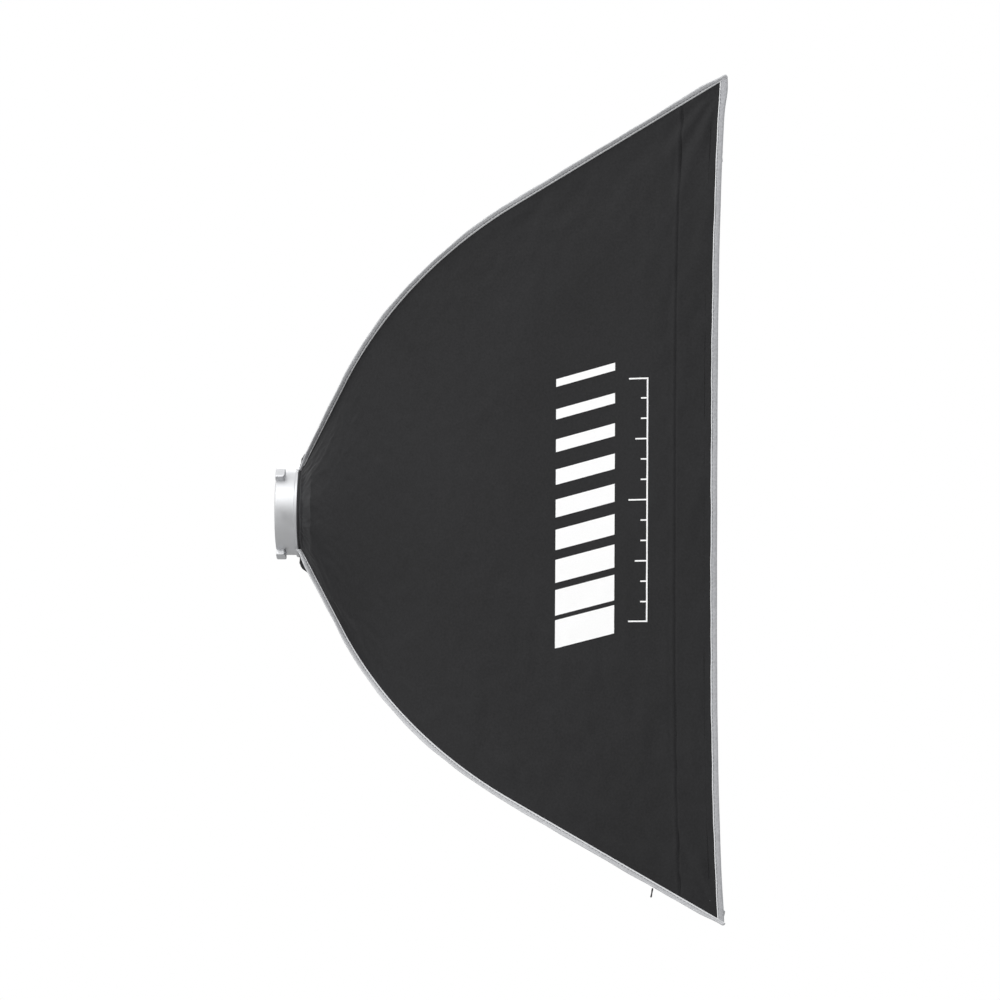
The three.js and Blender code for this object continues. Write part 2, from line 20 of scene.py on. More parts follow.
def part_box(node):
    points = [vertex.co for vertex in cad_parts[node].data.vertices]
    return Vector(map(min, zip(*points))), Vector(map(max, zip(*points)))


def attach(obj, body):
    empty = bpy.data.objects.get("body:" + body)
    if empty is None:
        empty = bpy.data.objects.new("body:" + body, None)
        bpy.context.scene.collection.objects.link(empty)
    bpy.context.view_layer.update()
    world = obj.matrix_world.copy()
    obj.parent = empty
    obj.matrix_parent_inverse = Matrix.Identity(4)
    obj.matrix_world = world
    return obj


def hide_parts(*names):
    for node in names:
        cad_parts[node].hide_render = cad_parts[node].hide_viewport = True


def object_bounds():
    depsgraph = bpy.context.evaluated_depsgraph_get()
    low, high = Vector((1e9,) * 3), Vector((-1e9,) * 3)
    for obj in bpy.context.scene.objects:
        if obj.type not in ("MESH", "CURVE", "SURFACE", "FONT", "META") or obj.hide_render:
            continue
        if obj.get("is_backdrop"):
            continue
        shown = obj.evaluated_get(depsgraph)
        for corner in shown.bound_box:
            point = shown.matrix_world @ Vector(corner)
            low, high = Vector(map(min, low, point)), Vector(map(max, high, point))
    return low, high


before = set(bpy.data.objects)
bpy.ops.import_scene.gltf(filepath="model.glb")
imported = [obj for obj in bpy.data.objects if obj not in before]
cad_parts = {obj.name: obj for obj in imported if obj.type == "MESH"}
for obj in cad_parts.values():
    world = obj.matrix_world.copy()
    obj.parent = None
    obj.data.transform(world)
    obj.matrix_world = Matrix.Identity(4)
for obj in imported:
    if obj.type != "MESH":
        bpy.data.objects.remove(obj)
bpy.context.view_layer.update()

MM = 0.001
SEED = 7
SOFTBOX = "softbox"
DIFFUSER = "diffuser"
BAYONET = "bayonet"
LOG = logging.getLogger("softbox")

Array = np.ndarray

MATH = "ShaderNodeMath"
NOISE = "ShaderNodeTexNoise"
MAP_RANGE = "ShaderNodeMapRange"
MULTIPLY = {"operation": "MULTIPLY"}
MULTIPLY_ADD = {"operation": "MULTIPLY_ADD"}
MIX_COLOURS = ("ShaderNodeMix", {"data_type": "RGBA"})
CLOTH_MAP = "cloth"
TURNED_EDGE = 25.0


# ---------------------------------------------------------------- colours and nodes


def linear(hex_colour: str) -> tuple[float, float, float, float]:
    """Turns an sRGB colour into the linear one that shaders work in.

    Args:
        hex_colour: six hexadecimal digits after a #.

    Returns:
        Linear red, green and blue, and an alpha of 1.
    """
    channels = [int(hex_colour[i : i + 2], 16) / 255 for i in (1, 3, 5)]
    red, green, blue = [c / 12.92 if c <= 0.04045 else ((c + 0.055) / 1.055) ** 2.4 for c in channels]
    return red, green, blue, 1.0


def set_inputs(node: bpy.types.Node, values: dict[str | int, Any]) -> None:
    """Sets a node's unlinked inputs, by name or index."""
    for name, value in values.items():
        node.inputs[name].default_value = value


def add_node(
    tree: bpy.types.NodeTree,
    kind: str,
    settings: dict[str, Any] | None = None,
    values: dict[str | int, Any] | None = None,
    links: dict[str | int, bpy.types.NodeSocket] | None = None,
) -> bpy.types.Node:
    """Adds one node with its settings, its constant inputs and its links.

    Args:
        tree: the tree that the node goes into.
        kind: the node's type name.
        settings: the node's own properties.
        values: what its unlinked inputs are set to, by name or index.
        links: the output that feeds each linked input, by name or index.

    Returns:
        The new node.
    """
    node = tree.nodes.new(kind)
    for name, setting in (settings or {}).items():
        setattr(node, name, setting)
    set_inputs(node, values or {})
    for name, source in (links or {}).items():
        tree.links.new(source, node.inputs[name])
    return node


def new_material(name: str) -> tuple[bpy.types.Material, bpy.types.NodeTree, bpy.types.Node]:
    """Makes an empty node material with its shader.

    Args:
        name: the material's name.

    Returns:
        The material, its tree and its Principled BSDF node.
    """
    material = bpy.data.materials.new(name)
    material.use_nodes = True
    tree = material.node_tree
    tree.nodes.clear()
    shader = add_node(tree, "ShaderNodeBsdfPrincipled")
    add_node(tree, "ShaderNodeOutputMaterial", links={"Surface": shader.outputs[0]})
    return material, tree, shader


# ---------------------------------------------------------------- finishes


class Finish:
    """A surface finish, made into a material the first time it is asked for."""

    name: str

    def paint(self, tree: bpy.types.NodeTree, shader: bpy.types.Node) -> None:
        """Fills in the material's nodes.

        Args:
            tree: the material's node tree.
            shader: its Principled BSDF node.
        """
        raise NotImplementedError

    def material(self) -> bpy.types.Material:
        """Finds or makes the material of this finish."""
        known = bpy.data.materials.get(self.name)
        if known:
            return known
        material, tree, shader = new_material(self.name)
        self.paint(tree, shader)
        return material


@dataclass(frozen=True)
class WovenFinish(Finish):
    """Plain-woven cloth or tape: two crossing sets of threads on the piece's own UV map, in metres."""

    name: str
    light: str
    dark: str
    thread_mm: float
    roughness: float = 0.8
    relief_mm: float = 0.12
    sheen: float = 0.15
    specular: float = 0.3
    rib_mm: float = 0.0
    see_through: float = 0.0
    coating: float = 0.0
    blotches_per_m: float = 7.0
    fuzz_per_m: float = 420.0
    blotch_share: float = 0.55
    weave_share: float = 0.16

    def paint(self, tree: bpy.types.NodeTree, shader: bpy.types.Node) -> None:
        """Paints crossing threads, uneven dye and a slow change of tone.

        Args:
            tree: the material's node tree.
            shader: its Principled BSDF node.
        """
        uv = add_node(tree, "ShaderNodeUVMap", {"uv_map": CLOTH_MAP}).outputs[0]
        split = add_node(tree, "ShaderNodeSeparateXYZ", links={0: uv})
        waves = []
        for axis, pitch in ((0, self.thread_mm), (1, self.thread_mm), (0, self.rib_mm)):
            if pitch:
                turns = 2 * math.pi / (pitch * MM)
                phase = add_node(tree, MATH, MULTIPLY, {1: turns}, {0: split.outputs[axis]})
                wave = add_node(tree, MATH, {"operation": "SINE"}, links={0: phase.outputs[0]})
                waves.append(wave.outputs[0])
        weave = add_node(tree, MATH, MULTIPLY, links={0: waves[0], 1: waves[1]}).outputs[0]
        if self.rib_mm:
            weave = add_node(tree, MATH, {"operation": "ADD"}, links={0: weave, 1: waves[2]}).outputs[0]
        place = add_node(tree, "ShaderNodeTexCoord").outputs["Object"]
        slow = {"Scale": self.blotches_per_m, "Detail": 3.0, "Roughness": 0.55}
        fine = {"Scale": self.fuzz_per_m, "Detail": 2.0, "Roughness": 0.6}
        blotches, fuzz = (add_node(tree, NOISE, None, v, {"Vector": place}).outputs[0] for v in (slow, fine))
        dye = add_node(tree, MATH, MULTIPLY_ADD, {1: self.blotch_share}, {0: blotches, 2: fuzz}).outputs[0]
        threads = add_node(tree, MATH, MULTIPLY_ADD, {1: self.weave_share}, {0: weave, 2: dye}).outputs[0]
        span = add_node(tree, MAP_RANGE, None, {"From Min": 0.42, "From Max": 1.12}, {"Value": threads})
        tones = {6: linear(self.dark), 7: linear(self.light)}
        colour = add_node(tree, *MIX_COLOURS, tones, {0: span.outputs[0]})
        depth = {"Strength": 0.5, "Distance": self.relief_mm * MM}
        bump = add_node(tree, "ShaderNodeBump", None, depth, {"Height": threads})
        tree.links.new(colour.outputs[2], shader.inputs["Base Color"])
        tree.links.new(bump.outputs[0], shader.inputs["Normal"])
        gloss = {"Roughness": self.roughness, "Specular IOR Level": self.specular}
        sheen = {"Sheen Weight": self.sheen, "Sheen Roughness": 0.45}
        set_inputs(shader, gloss | sheen | {"Coat Weight": self.coating, "Coat Roughness": 0.4})
        if self.see_through:
            self._let_light_through(tree, shader, colour.outputs[2])

    def _let_light_through(
        self, tree: bpy.types.NodeTree, shader: bpy.types.Node, colour: bpy.types.NodeSocket
    ) -> None:
        """Mixes in light that passes through the cloth and spreads.

        Args:
            tree: the material's node tree.
            shader: its Principled BSDF node.
            colour: the cloth's colour.
        """
        through = add_node(tree, "ShaderNodeBsdfTranslucent", links={"Color": colour})
        layers = {1: shader.outputs[0], 2: through.outputs[0]}
        both = add_node(tree, "ShaderNodeMixShader", None, {0: self.see_through}, layers)
        output = next(n for n in tree.nodes if n.bl_idname == "ShaderNodeOutputMaterial")
        tree.links.new(both.outputs[0], output.inputs["Surface"])


@dataclass(frozen=True)
class MetalFinish(Finish):
    """Bare or plated metal with fine tool marks round the X axis, and dulled patches."""

    name: str
    colour: str
    roughness: float
    mark_mm: float = 0.6
    relief_mm: float = 0.01
    marks_round: float = 12.0
    patches_per_m: float = 45.0

    def paint(self, tree: bpy.types.NodeTree, shader: bpy.types.Node) -> None:
        """Paints tool marks and an uneven gloss.

        Args:
            tree: the material's node tree.
            shader: its Principled BSDF node.
        """
        place = add_node(tree, "ShaderNodeTexCoord").outputs["Object"]
        stretch = {"Scale": (1 / (self.mark_mm * MM), self.marks_round, self.marks_round)}
        along = add_node(tree, "ShaderNodeMapping", None, stretch, {"Vector": place}).outputs[0]
        grain = {"Scale": 1.0, "Detail": 3.0, "Roughness": 0.6}
        marks = add_node(tree, NOISE, None, grain, {"Vector": along}).outputs[0]
        dull = {"Scale": self.patches_per_m, "Detail": 4.0, "Roughness": 0.6}
        patches = add_node(tree, NOISE, None, dull, {"Vector": place}).outputs[0]
        spread = {"From Min": 0.3, "From Max": 0.7}
        spread |= {"To Min": self.roughness * 0.85, "To Max": self.roughness * 1.2}
        gloss = add_node(tree, MAP_RANGE, None, spread, {"Value": patches})
        depth = {"Strength": 0.35, "Distance": self.relief_mm * MM}
        bump = add_node(tree, "ShaderNodeBump", None, depth, {"Height": marks})
        tree.links.new(gloss.outputs[0], shader.inputs["Roughness"])
        tree.links.new(bump.outputs[0], shader.inputs["Normal"])
        set_inputs(shader, {"Base Color": linear(self.colour), "Metallic": 1.0})


@dataclass(frozen=True)
class MouldedFinish(Finish):
    """Plastic, powder coat or ink: one colour with a fine grain that breaks up its gloss."""

    name: str
    light: str
    dark: str
    roughness: float
    grain_mm: float = 0.8
    relief_mm: float = 0.03
    specular: float = 0.5

    def paint(self, tree: bpy.types.NodeTree, shader: bpy.types.Node) -> None:
        """Paints the grain and a slight change of tone.

        Args:
            tree: the material's node tree.
            shader: its Principled BSDF node.
        """
        place = add_node(tree, "ShaderNodeTexCoord").outputs["Object"]
        texture = {"Scale": 1 / (self.grain_mm * MM), "Detail": 3.0, "Roughness": 0.5}
        grain = add_node(tree, NOISE, None, texture, {"Vector": place}).outputs[0]
        tones = {6: linear(self.dark), 7: linear(self.light)}
        colour = add_node(tree, *MIX_COLOURS, tones, {0: grain})
        depth = {"Strength": 0.4, "Distance": self.relief_mm * MM}
        bump = add_node(tree, "ShaderNodeBump", None, depth, {"Height": grain})
        tree.links.new(colour.outputs[2], shader.inputs["Base Color"])
        tree.links.new(bump.outputs[0], shader.inputs["Normal"])
        set_inputs(shader, {"Roughness": self.roughness, "Specular IOR Level": self.specular})


# Nylon plain weave: real threads are 0.25 mm apart, drawn at 1.1 mm so that they show. A dull black.
BLACK_NYLON = WovenFinish("black_woven_nylon", "#242426", "#171718", 1.1, 0.6, 0.05, 0.02, 0.22)
# The nylon's other side is coated with aluminium flake: bright, broad highlights over the weave.
SILVER_COATING = WovenFinish(
    "silver_coated_nylon", "#CFD1D4", "#A9ABAF", 1.1, 0.35, 0.05, 0.0, 0.8, coating=0.3
)
# Polyester binding tape: a ribbed weave, 0.5 mm ribs drawn at 1.4 mm. Matt, light grey.
GREY_TAPE = WovenFinish("grey_binding_tape", "#D6D7D9", "#B2B3B6", 1.4, 0.75, 0.12, 0.1, 0.3, rib_mm=1.4)
# The same tape round the front edge, in a darker copy of its colour: painted shade, for the hem's face that
# gets less of the light from above.
SHADED_HEM_TAPE = WovenFinish("grey_hem_tape_painted_shade", "#BDBEC1", "#98999C", 1.4, 0.75, 0.12, 0.1, 0.3, rib_mm=1.4)
# A lighter copy of the tape's colour, painted highlight: the bright line along the tape's folded edge beside
# the black cloth.
TAPE_FOLD_HIGHLIGHT = WovenFinish("tape_fold_painted_highlight", "#F0F1F2", "#DCDDDF", 1.4, 0.7, 0.08, 0.1, 0.3)
# Polyester thread, coloured darker than the tape as painted shade of the stitch grooves it lies in.
GROOVE_SHADED_THREAD = MouldedFinish("grey_thread_painted_groove_shade", "#77787B", "#5F6063", 0.7, 0.4, 0.02, 0.3)
BLACK_THREAD = MouldedFinish("black_sewing_thread", "#232324", "#171718", 0.65, 0.4, 0.02, 0.3)
WHITE_THREAD = MouldedFinish("white_sewing_thread", "#E6E6E3", "#D2D2CF", 0.7, 0.4, 0.02, 0.3)
# Loop tape: a napped pile that looks soft and swallows light, tufts 1.5 mm apart.
LOOP_PILE = MouldedFinish("black_loop_pile", "#262627", "#121213", 0.95, 1.5, 0.6, 0.1)
# Diffusing polyester silk: white, matt, and light passes through it.
WHITE_DIFFUSER = WovenFinish(
    "white_diffuser_cloth", "#F4F4F2", "#E4E4E1", 1.3, 0.85, 0.05, 0.1, 0.3, see_through=0.35
)
WHITE_TAPE = WovenFinish("white_hook_tape", "#EFEFEC", "#D9D9D5", 1.6, 0.85, 0.15, 0.1, 0.3, rib_mm=1.6)
WHITE_ELASTIC = WovenFinish("white_woven_elastic", "#ECECE9", "#CFCFCB", 1.2, 0.8, 0.2, 0.1, 0.3, rib_mm=2.4)
# Nylon ribbon with a fine cross rib.
BLACK_RIBBON = WovenFinish("black_nylon_ribbon", "#2A2A2C", "#161617", 1.2, 0.6, 0.15, 0.15, 0.4, rib_mm=1.2)
# Turned and clear-anodised aluminium: satin, with hair-fine turning marks.
ANODISED_ALUMINIUM = MetalFinish("clear_anodised_aluminium", "#DADBDD", 0.44, 0.5, 0.012)
ZINC_STEEL = MetalFinish("zinc_plated_steel", "#BFC2C6", 0.34, 0.9, 0.01)
SPRING_STEEL = MetalFinish("drawn_spring_steel", "#9A9DA2", 0.38, 1.2, 0.01)
# Die-cast ring with a semi-gloss black powder coat: an orange-peel texture 0.8 mm across.
BLACK_POWDER_COAT = MouldedFinish("black_powder_coat", "#1E1E20", "#151516", 0.45, 0.8, 0.05)
BLACK_NYLON_PLASTIC = MouldedFinish("black_moulded_nylon", "#1B1B1C", "#111112", 0.5, 1.0, 0.03)
# Screen-printed ink: flat and opaque, with the weave just showing through it.
WHITE_INK = MouldedFinish("white_screen_ink", "#FFFFFF", "#F4F4F4", 0.6, 1.1, 0.04)
# Painted studio floor: matt, so that it shows no highlight.
STUDIO_FLOOR = MouldedFinish("pale_studio_floor", "#ABABAB", "#A5A5A5", 0.9, 8.0, 0.01, 0.1)


# ---------------------------------------------------------------- meshes


def mesh_piece(
    name: str,
    points: Array,
    faces: Iterable[Sequence[int]],
    finishes: Sequence[Finish],
    slots: Array | None = None,
    uvs: Array | None = None,
    sharp: float = 40.0,
) -> bpy.types.Object:
    """Makes one mesh object at the origin.

    Args:
        name: the piece's name.
        points: its vertices in millimetres, one row each.
        faces: vertex numbers of each face.
        finishes: its material slots.
        slots: the slot of each face, if it has more than one.
        uvs: a place in metres for each vertex, for the cloth map.
        sharp: edges that turn by more than this many degrees stay sharp.

    Returns:
        The new object, linked to the scene.
    """
    mesh = bpy.data.meshes.new(name)
    mesh.from_pydata((np.asarray(points, float) * MM).tolist(), [], [tuple(int(i) for i in f) for f in faces])
    for finish in finishes:
        mesh.materials.append(finish.material())
    mesh.polygons.foreach_set("use_smooth", [True] * len(mesh.polygons))
    if slots is not None:
        mesh.polygons.foreach_set("material_index", np.asarray(slots, np.int32))
    corners = np.empty(len(mesh.loops), np.int32)
    mesh.loops.foreach_get("vertex_index", corners)
    layer = mesh.uv_layers.new(name=CLOTH_MAP)
    if uvs is None:
        uvs = np.asarray(points, float)[:, 1:] * MM
    layer.data.foreach_set("uv", np.asarray(uvs, np.float32)[corners].ravel())
    mesh.set_sharp_from_angle(angle=math.radians(sharp))
    mesh.update()
    piece = bpy.data.objects.new(name, mesh)
    bpy.context.scene.collection.objects.link(piece)
    return piece


def grid_faces(rows: int, columns: int, closed: bool = False, start: int = 0) -> Array:
    """The quads of a grid of vertices stored row by row.

    Args:
        rows: how many rows of vertices there are.
        columns: how many vertices there are in a row.
        closed: whether each row's last vertex joins its first.
        start: the number of the grid's first vertex.

    Returns:
        Four vertex numbers for each quad.
    """
    across = np.arange(columns if closed else columns - 1)
    row, column = np.meshgrid(np.arange(rows - 1) * columns, across, indexing="ij")
    beside = (column + 1) % columns
    quads = np.stack([row + column, row + beside, row + columns + beside, row + columns + column])
    return quads.reshape(4, -1).T + start


def facing(faces: Array, points: Array, way: Sequence[float]) -> Array:
    """Turns an open surface's faces round if the first one faces against a direction.

    Args:
        faces: vertex numbers of each face.
        points: the vertices.
        way: the direction that the first face should face along.

    Returns:
        The faces, turned round or as they were.
    """
    a, b, c = (points[faces[0, i]] for i in range(3))
    return faces if np.dot(np.cross(b - a, c - a), way) >= 0 else faces[:, ::-1]


def rim_faces(rows: int, columns: int, total: int, front: Array) -> Array:
    """The quads that join a thin sheet's two faces round its edge.

    Args:
        rows: how many rows of points a face has.
        columns: how many columns.
        total: how many points a face has.
        front: the first face's quads, which show which way round it is.

    Returns:
        Four vertex numbers for each quad.
    """
    numbers = np.arange(total).reshape(rows, columns)
    loop = np.concatenate([numbers[0], numbers[1:, -1], numbers[-1, -2::-1], numbers[-2:0:-1, 0]])
    following = np.roll(loop, -1)
    used = {(int(q[i]), int(q[(i + 1) % 4])) for q in front for i in range(4)}
    if (int(loop[0]), int(following[0])) in used:
        return np.stack([following, loop, loop + total, following + total], axis=1)
    return np.stack([loop, following, following + total, loop + total], axis=1)


def girth_of(one: Array, other: Array) -> Array:
    """The length walked round a section to each of its points."""
    return np.concatenate([[0], np.cumsum(np.hypot(np.diff(one), np.diff(other)))])


def strip_map(along: Array, girth: Array) -> Array:
    """The cloth map of a strip, in metres: its length one way and its girth the other."""
    return np.stack(np.broadcast_arrays(along[:, None], girth[None, :]), axis=-1) * MM


def box_of(node: str) -> tuple[Array, Array]:
    """The low and high corner of one of the frame's nodes, in millimetres."""
    low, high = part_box(node)
    return np.array(low) / MM, np.array(high) / MM


def keep_piece(piece: bpy.types.Object, body: str, replaced: str = "") -> bpy.types.Object:
    """Puts a finished piece on its body, hides the frame's node that it takes the place of, and logs its face
    count.

    Args:
        piece: the piece.
        body: the body that it rides on.
        replaced: the frame's node that it takes the place of, if it does.

    Returns:
        The same piece.
    """
    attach(piece, body)
    if replaced:
        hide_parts(replaced)
    LOG.info("%s: %d faces", piece.name, len(piece.data.polygons))
    return piece


def outward(faces: Array, points: Array) -> Array:
    """Turns a closed surface's faces round if its volume comes out negative.

    Args:
        faces: vertex numbers of each quad.
        points: the vertices.

    Returns:
        The quads, facing outwards.
    """
    a, b, c, d = (points[faces[:, i]] for i in range(4))
    volume = np.einsum("ij,ij->", a, np.cross(b, c)) + np.einsum("ij,ij->", a, np.cross(c, d))
    return faces if volume > 0 else faces[:, ::-1]


def tube_of_loops(
    name: str,
    loops: Array,
    finishes: Sequence[Finish],
    uvs: Array | None = None,
    sharp: float = 40.0,
    second: Sequence[int] = (),
) -> bpy.types.Object:
    """Makes a closed piece through a row of closed loops, capped at both ends.

    Args:
        name: the piece's name.
        loops: rows of points, in millimetres: one row for each loop.
        finishes: its material slots.
        uvs: a place in metres for each point, in the same layout.
        sharp: edges that turn by more than this many degrees stay sharp.
        second: which columns of faces take the second finish.

    Returns:
        The new object.
    """
    rows, columns = loops.shape[:2]
    points = loops.reshape(-1, 3)
    quads = outward(grid_faces(rows, columns, closed=True), points)
    slots = np.append(np.tile(np.isin(np.arange(columns), second), rows - 1), [False, False])
    first = list(range(columns))
    last = [(rows - 1) * columns + i for i in range(columns)]
    forward = tuple(quads[0][:2]) == (0, 1)
    faces = [tuple(q) for q in quads]
    faces.append(tuple(reversed(first)) if forward else tuple(first))
    faces.append(tuple(last) if forward else tuple(reversed(last)))
    flat_uvs = None if uvs is None else uvs.reshape(-1, 2)
    return mesh_piece(name, points, faces, finishes, slots, flat_uvs, sharp)


def turned_about_x(
    name: str, profile: Sequence[tuple[float, float]], finishes: Sequence[Finish], segments: int = 160
) -> bpy.types.Object:
    """Makes a piece turned about the X axis.

    Args:
        name: the piece's name.
        profile: x and radius of each corner of the closed section.
        finishes: its material slots.
        segments: how many steps there are round the axis.

    Returns:
        The new object.
    """
    section = np.array(profile)
    angle = np.linspace(0, 2 * math.pi, segments, endpoint=False)[:, None]
    x = np.broadcast_to(section[:, 0], (segments, len(section)))
    points = np.stack([x, section[:, 1] * np.cos(angle), section[:, 1] * np.sin(angle)], axis=-1)
    flat = points.reshape(-1, 3)
    ring = grid_faces(segments, len(section), closed=True)
    first = (segments - 1) * len(section)
    here = np.arange(len(section))
    there = (here + 1) % len(section)
    closing = np.stack([first + here, first + there, there, here], axis=1)
    return mesh_piece(name, flat, outward(np.vstack([ring, closing]), flat), finishes, sharp=TURNED_EDGE)


def bevelled(piece: bpy.types.Object, width: float, segments: int = 2) -> bpy.types.Object:
    """Rounds a piece's sharp edges.

    Args:
        piece: the object.
        width: the bevel's width in millimetres.
        segments: how many steps the bevel has.

    Returns:
        The same object.
    """
    modifier = piece.modifiers.new("edges", "BEVEL")
    modifier.width = width * MM
    modifier.segments = segments
    modifier.limit_method = "ANGLE"
    modifier.angle_limit = math.radians(35)
    return piece


def smoothstep(value: Array | float, low: float, high: float) -> Array:
    """A smooth rise from 0 at low to 1 at high."""
    share = np.clip((np.asarray(value, float) - low) / (high - low), 0, 1)
    return share * share * (3 - 2 * share)


# ---------------------------------------------------------------- the shape of the fabric


class Side(Enum):
    """The four panels: name, axis that the panel faces along, and its sign."""

    NEAR = ("side_near", 1, -1.0)
    FAR = ("side_far", 1, 1.0)
    TOP = ("top", 2, 1.0)
    BOTTOM = ("bottom", 2, -1.0)

    @property
    def label(self) -> str:
        """The panel's name in the frame."""
        return self.value[0]

    @property
    def out(self) -> int:
        """The number of the axis that the panel faces along."""
        return self.value[1]

    @property
    def span(self) -> int:
        """The number of the axis between the panel's seams."""
        return 3 - self.value[1]

    @property
    def sign(self) -> float:
        """Which way the panel faces along its axis."""
        return self.value[2]


class Corner(Enum):
    """The four corners: number in the frame, and the signs of Y and Z."""

    NEAR_LOW = (1, -1.0, -1.0)
    FAR_LOW = (2, 1.0, -1.0)
    FAR_HIGH = (3, 1.0, 1.0)
    NEAR_HIGH = (4, -1.0, 1.0)


@dataclass(frozen=True)
class SeamFrames:
    """Places along one seam, each with its forward, outward and crosswise directions."""

    place: Array
    forward: Array
    outwards: Array
    across: Array

    def near(self, out: Array, across: Array) -> Array:
        """Points near the seam: one loop of (out, across) offsets at each place.

        Args:
            out: offsets along the outward direction.
            across: offsets along the crosswise direction.

        Returns:
            Points, one row for each place.
        """
        return (
            self.place[:, None]
            + np.atleast_2d(out)[..., None] * self.outwards[:, None]
            + np.atleast_2d(across)[..., None] * self.across[:, None]
        )


@dataclass(frozen=True)
class SkinShape:
    """The shape that the rods stretch the fabric into."""

    start_x: float = 7.0
    start_radius: float = 54.0
    corner_x: float = 480.0
    half_width: float = 297.0
    half_height: float = 449.0
    rear_slope: float = 2.1
    front_slope: float = 0.665
    bend_radius: float = 552.0
    ring_reach: float = 26.0
    ring_end: float = 21.0
    dome: float = 0.3
    bow_tall: float = 8.5
    bow_wide: float = 5.0
    inset_tall: float = 9.0
    inset_wide: float = 5.0
    saddle_tall: float = 8.0
    saddle_wide: float = 5.0
    inset_from: float = 0.35
    saddle_from: float = 0.12
    dome_reach: float = 60.0
    bow_reach: float = 170.0
    bow_power: float = 3.2
    hub_forward: float = 0.97
    hub_rise: float = 0.1

    @property
    def corner_radius(self) -> float:
        """The front corner's distance from the axis."""
        return math.hypot(self.half_width, self.half_height)

    def share_of(self, axis: int) -> float:
        """How much of the distance from the axis to a corner lies along axis 1 or 2."""
        return (self.half_width if axis == 1 else self.half_height) / self.corner_radius

    def half_of(self, side: Side) -> float:
        """Half the front's length along a panel's edge."""
        return self.half_height if side.out == 1 else self.half_width

    @property
    def stretches(self) -> tuple[float, float, float]:
        """The lengths of the seam's straight rear, bend and straight front."""
        rear, front = math.atan(self.rear_slope), math.atan(self.front_slope)
        tangent = self.bend_radius * math.tan((rear - front) / 2)
        rise = self.corner_radius - self.start_radius
        meet_x = (rise - self.front_slope * self.corner_x + self.rear_slope * self.start_x) / (
            self.rear_slope - self.front_slope
        )
        meet_radius = self.start_radius + self.rear_slope * (meet_x - self.start_x)
        return (
            math.hypot(meet_x - self.start_x, meet_radius - self.start_radius) - tangent,
            self.bend_radius * (rear - front),
            math.hypot(self.corner_x - meet_x, self.corner_radius - meet_radius) - tangent,
        )

    @property
    def length(self) -> float:
        """The seam's whole length."""
        return sum(self.stretches)

    def profile(self, along: Array) -> tuple[Array, Array, Array]:
        """The seam in the plane of the axis and a corner.

        Args:
            along: lengths from the ring; a negative one lies back over the ring's hub.

        Returns:
            x, distance from the axis, and the angle of the slope.
        """
        along = np.asarray(along, float)
        rear, front = math.atan(self.rear_slope), math.atan(self.front_slope)
        rear_length, bend_length, _ = self.stretches
        turned = np.clip((along - rear_length) / self.bend_radius, 0, rear - front)
        chord = 2 * self.bend_radius * np.sin(turned / 2)
        straight = np.clip(along, 0, rear_length)
        rest = np.maximum(along - rear_length - bend_length, 0)
        behind = np.minimum(along, 0)
        heading = rear - turned / 2
        x = self.start_x + straight * math.cos(rear) + chord * np.cos(heading) + rest * math.cos(front)
        radius = self.start_radius + straight * math.sin(rear)
        radius = radius + chord * np.sin(heading) + rest * math.sin(front)
        return x + self.hub_forward * behind, radius + self.hub_rise * behind, rear - turned

    def seam(self, corner: Corner, along: Array) -> SeamFrames:
        """One seam's places and directions.

        Args:
            corner: which seam.
            along: lengths from the ring.

        Returns:
            The frames at those lengths.
        """
        x, radius, angle = self.profile(along)
        _, side_y, side_z = corner.value
        unit_y, unit_z = side_y * self.share_of(1), side_z * self.share_of(2)
        place = np.stack([x, radius * unit_y, radius * unit_z], axis=-1)
        forward = np.stack([np.cos(angle), np.sin(angle) * unit_y, np.sin(angle) * unit_z], axis=-1)
        outwards = np.broadcast_to(np.array([0, side_y, side_z]) * math.sqrt(0.5), forward.shape)
        outwards = outwards - forward * np.sum(forward * outwards, axis=-1, keepdims=True)
        outwards = outwards / np.linalg.norm(outwards, axis=-1, keepdims=True)
        return SeamFrames(place, forward, outwards, np.cross(forward, outwards))

    def outside(self, side: Side, along: Array, v: Array) -> Array:
        """Points on the outside of a panel.

        Args:
            side: which panel.
            along: lengths from the ring, broadcast against v.
            v: from one seam (-1) to the other (1).

        Returns:
            Points, in the broadcast shape.
        """
        along, v = np.broadcast_arrays(np.asarray(along, float), np.asarray(v, float))
        x, radius, _ = self.profile(along)
        tall = side.out == 1
        length = self.length
        inset = self.inset_tall if tall else self.inset_wide
        inset = inset * smoothstep(along, self.inset_from * length, length)
        pull = smoothstep(along, self.saddle_from * length, length)
        saddle = (self.saddle_tall if tall else self.saddle_wide) * np.sin(math.pi * pull)
        share = 1 - np.exp(-np.maximum(0, x - self.ring_end) / self.ring_reach)
        seam_angle = math.acos(self.share_of(side.out))
        bow = 1 - v * v
        round_out, round_span = radius * np.cos(v * seam_angle), radius * np.sin(v * seam_angle)
        square_out = radius * self.share_of(side.out) - bow * (inset + saddle)
        square_span = v * radius * self.share_of(side.span)
        dome = self.dome * bow * (1 - smoothstep(along, 0, self.dome_reach))
        hem_bow = self.bow_tall if tall else self.bow_wide
        back = hem_bow * (1 - np.abs(v) ** self.bow_power)
        back = back * smoothstep(along, length - self.bow_reach, length)
        point = np.empty(along.shape + (3,))
        point[..., 0] = x - dome - back
        point[..., side.out] = side.sign * (round_out + share * (square_out - round_out))
        point[..., side.span] = round_span + share * (square_span - round_span)
        return point

    def normal(self, side: Side, along: Array, v: Array) -> Array:
        """The outside's unit normals, facing out.

        Args:
            side: which panel.
            along: lengths from the ring, broadcast against v.
            v: from one seam (-1) to the other (1).

        Returns:
            Unit vectors, in the broadcast shape.
        """
        ahead = self.outside(side, along + 0.05, v) - self.outside(side, along - 0.05, v)
        across = self.outside(side, along, v + 1e-4) - self.outside(side, along, v - 1e-4)
        normal = np.cross(ahead, across)
        normal /= np.linalg.norm(normal, axis=-1, keepdims=True)
        return normal * np.sign(normal[..., side.out : side.out + 1] * side.sign)

